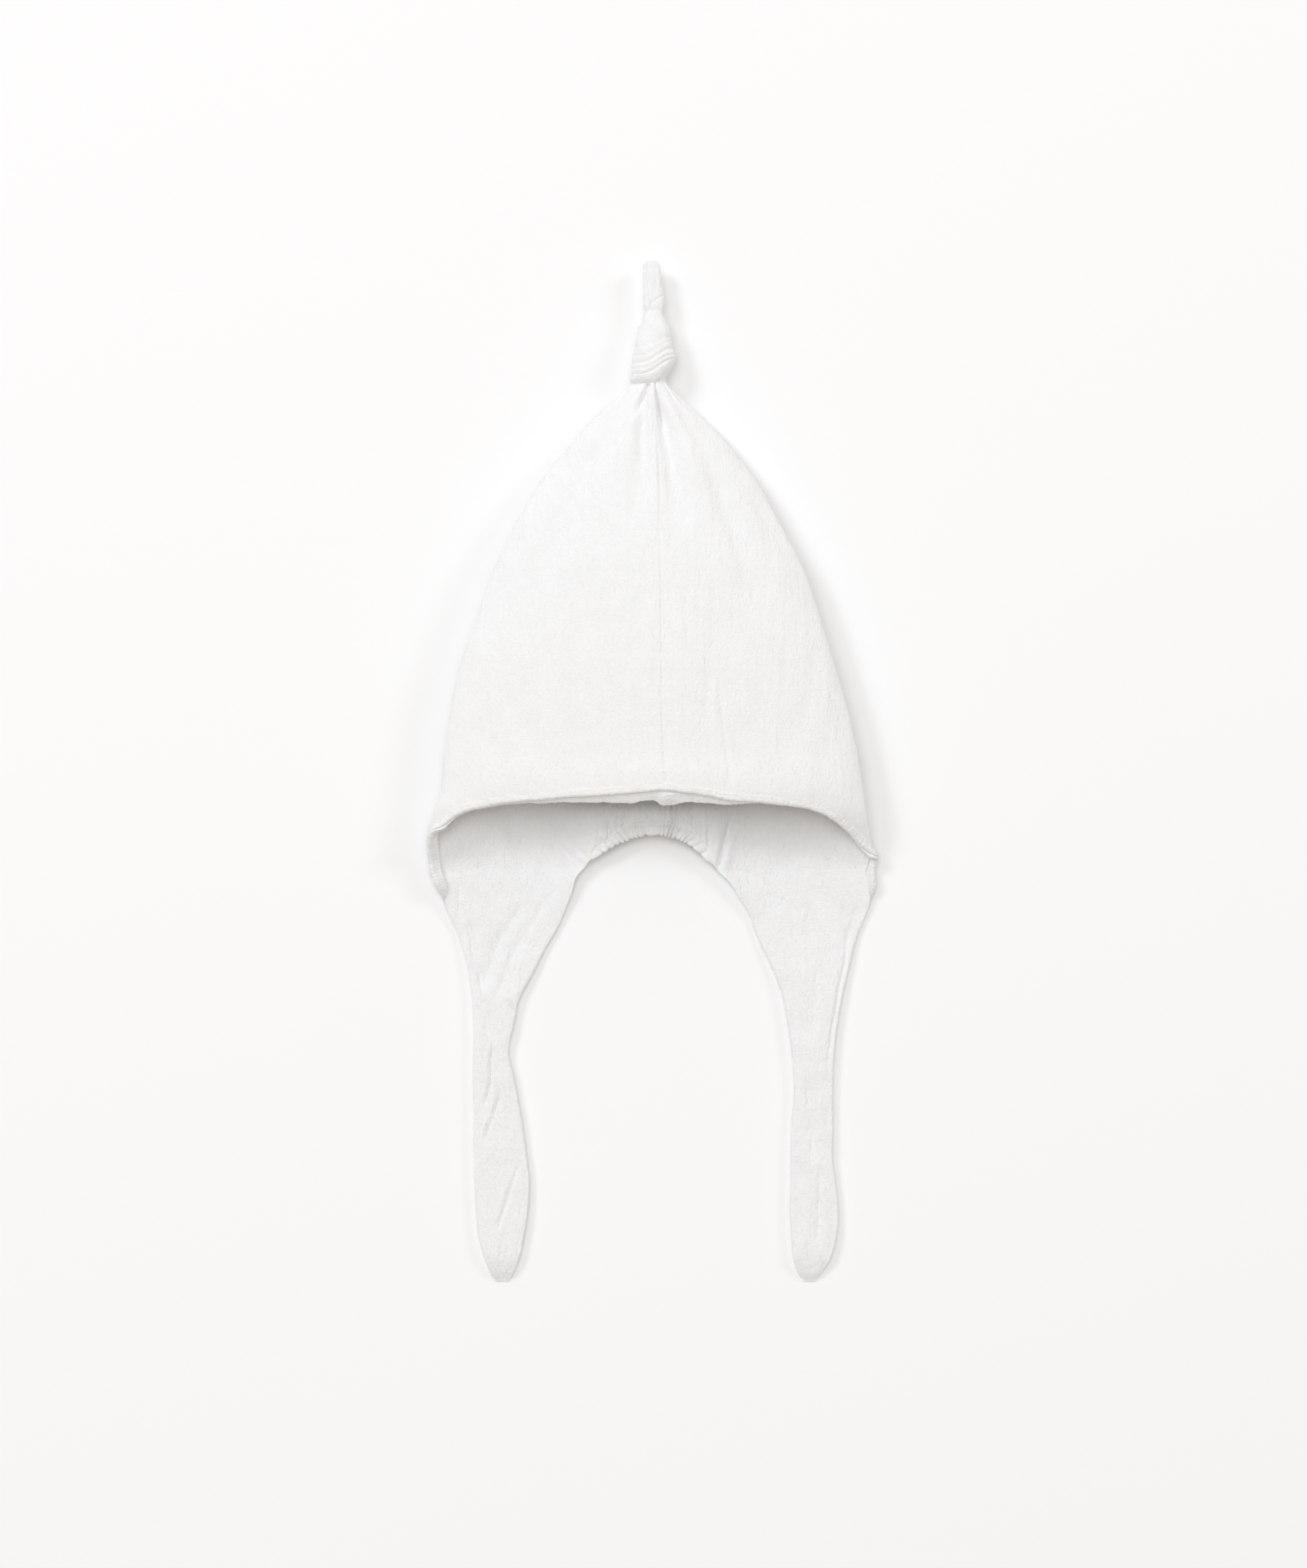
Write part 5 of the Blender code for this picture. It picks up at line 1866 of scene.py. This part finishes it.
@dataclass(frozen=True)
class Studio:
    """A pale floor, soft lights from above left and above right, and the camera straight above."""

    camera_place: Triple = (-0.0002, -0.0058, 1.8)
    frame_height: float = 0.768
    sensor: float = 36.0
    floor_size: float = 24.0
    floor_colour: Triple = (0.930, 0.930, 0.926)
    floor_drop: float = 0.0001
    floor_roughness: float = 0.85
    floor_specular: float = 0.15
    sky_colour: Triple = (1.0, 0.92, 0.83)
    sky: float = 0.468
    light_colour: Triple = (0.893, 0.940, 1.0)
    over_place: Triple = (-0.4, 1.0, 4.9)
    over_size: float = 3.2
    over_power: float = 103.5
    key_place: Triple = (-3.4, 3.0, 3.6)
    key_size: float = 1.6
    key_power: float = 102.0
    fill_place: Triple = (4.2, 2.4, 2.8)
    fill_size: float = 1.4
    fill_power: float = 51.0
    exposure: float = 0.0

    def build(self) -> None:
        """Puts up the floor, the lights, the sky and the camera."""
        self._floor()
        self._light("over", self.over_place, self.over_size, self.over_power)
        self._light("key", self.key_place, self.key_size, self.key_power)
        self._light("fill", self.fill_place, self.fill_size, self.fill_power)
        scene = bpy.context.scene
        world = bpy.data.worlds.new("sky")
        world.use_nodes = True
        glow = world.node_tree.nodes["Background"].inputs
        glow["Color"].default_value = (*self.sky_colour, 1.0)
        glow["Strength"].default_value = self.sky
        scene.world = world
        lens = bpy.data.cameras.new("camera")
        lens.sensor_width = self.sensor
        lens.lens = self.sensor * self.camera_place[2] / self.frame_height
        camera = bpy.data.objects.new("camera", lens)
        camera.location = self.camera_place
        scene.collection.objects.link(camera)
        scene.camera = camera
        scene.view_settings.view_transform = "Standard"
        scene.view_settings.exposure = self.exposure

    def _floor(self) -> None:
        """A pale floor, a hair below the cap."""
        half, z = self.floor_size / 2, -self.floor_drop
        mesh = bpy.data.meshes.new("floor")
        square = [(-half, -half, z), (half, -half, z), (half, half, z), (-half, half, z)]
        mesh.from_pydata(square, [], [(0, 1, 2, 3)])
        graph = Graph("pale floor")
        graph.feed(graph.shader.inputs["Base Color"], (*self.floor_colour, 1.0))
        graph.feed(graph.shader.inputs["Roughness"], self.floor_roughness)
        graph.feed(graph.shader.inputs["Specular IOR Level"], self.floor_specular)
        mesh.materials.append(graph.material)
        floor = bpy.data.objects.new("floor", mesh)
        bpy.context.scene.collection.objects.link(floor)

    def _light(self, name: str, place: Sequence[float], size: float, power: float) -> None:
        """A soft square light that faces the cap."""
        light = bpy.data.lights.new(name, "AREA")
        light.size = size
        light.energy = power
        light.color = self.light_colour
        lamp = bpy.data.objects.new(name, light)
        lamp.location = place
        lamp.rotation_euler = (-Vector(place)).to_track_quat("-Z", "Y").to_euler()
        bpy.context.scene.collection.objects.link(lamp)


def corners(box: Sequence[Sequence[float]]) -> list[list[float]]:
    """A box as plain lists of numbers."""
    return [[float(value) for value in corner] for corner in box]


def report(*pieces: bpy.types.Object) -> None:
    """Logs each piece that was made."""
    for piece in pieces:
        log.info("%s: %d faces", piece.name, len(piece.data.polygons))


def main() -> None:
    """Builds the cap piece by piece around the frame."""
    logging.basicConfig(level=logging.INFO, format="%(message)s")
    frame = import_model()
    log.info("frame: %d nodes", len(frame["nodes"]))
    Studio().build()

    cloth = Muslin("white muslin", "muslin")
    hem_cloth = Muslin("hem muslin", "hem_muslin", crepe_pitch=0.0013, crepe_run=0.0030, nap_height=0.00030)
    casing_cloth = Muslin("casing muslin", "casing_muslin", crepe_pitch=0.0013, crepe_run=0.0050)
    muslin, hem_muslin, casing_muslin = (finish.material() for finish in (cloth, hem_cloth, casing_cloth))
    thread = Thread().material()

    knot_low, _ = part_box("top_knot")
    strap_low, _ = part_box("ear_tie_left")
    flap_top_y = min(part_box("crown_left")[0].y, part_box("crown_right")[0].y)
    ruffles = Ruffles()
    panels = []
    for side in Side:
        _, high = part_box("crown_" + side.value)
        crown = Crown(knot_base_y=high.y, flap_top_y=flap_top_y)
        panel = Panel(side, crown, ruffles, tie_length=flap_top_y - strap_low.y)
        piece = panel.build(muslin)
        panel.dress(piece, cloth.slot)
        report(piece)
        panels.append(panel)

    hem = FaceHem((panels[0], panels[1]))
    hem_piece = hem.build(hem_muslin)
    hem_stitches = StitchRow("hem_stitches").build(hem.stitch_line(), thread)
    hem.dress(hem_piece, hem_stitches, hem_cloth.slot)
    report(hem_piece, hem_stitches)

    casing = NapeCasing((panels[0], panels[1]), ruffles)
    casing_piece = casing.build(casing_muslin)
    row = StitchRow("nape_stitches", pitch=0.0023, length=0.0015)
    casing_stitches = row.build(casing.stitch_line(), thread)
    casing.dress(casing_piece, casing_stitches, casing_cloth.slot)
    report(casing_piece, casing_stitches)

    knot = Knot(base_y=knot_low.y - KNOT_OVERLAP)
    knot_piece, tail_piece = knot.build(muslin), knot.build_tail(muslin)
    knot.dress(knot_piece, tail_piece, cloth.slot)
    report(knot_piece, tail_piece)


if __name__ == "__main__":
    main()
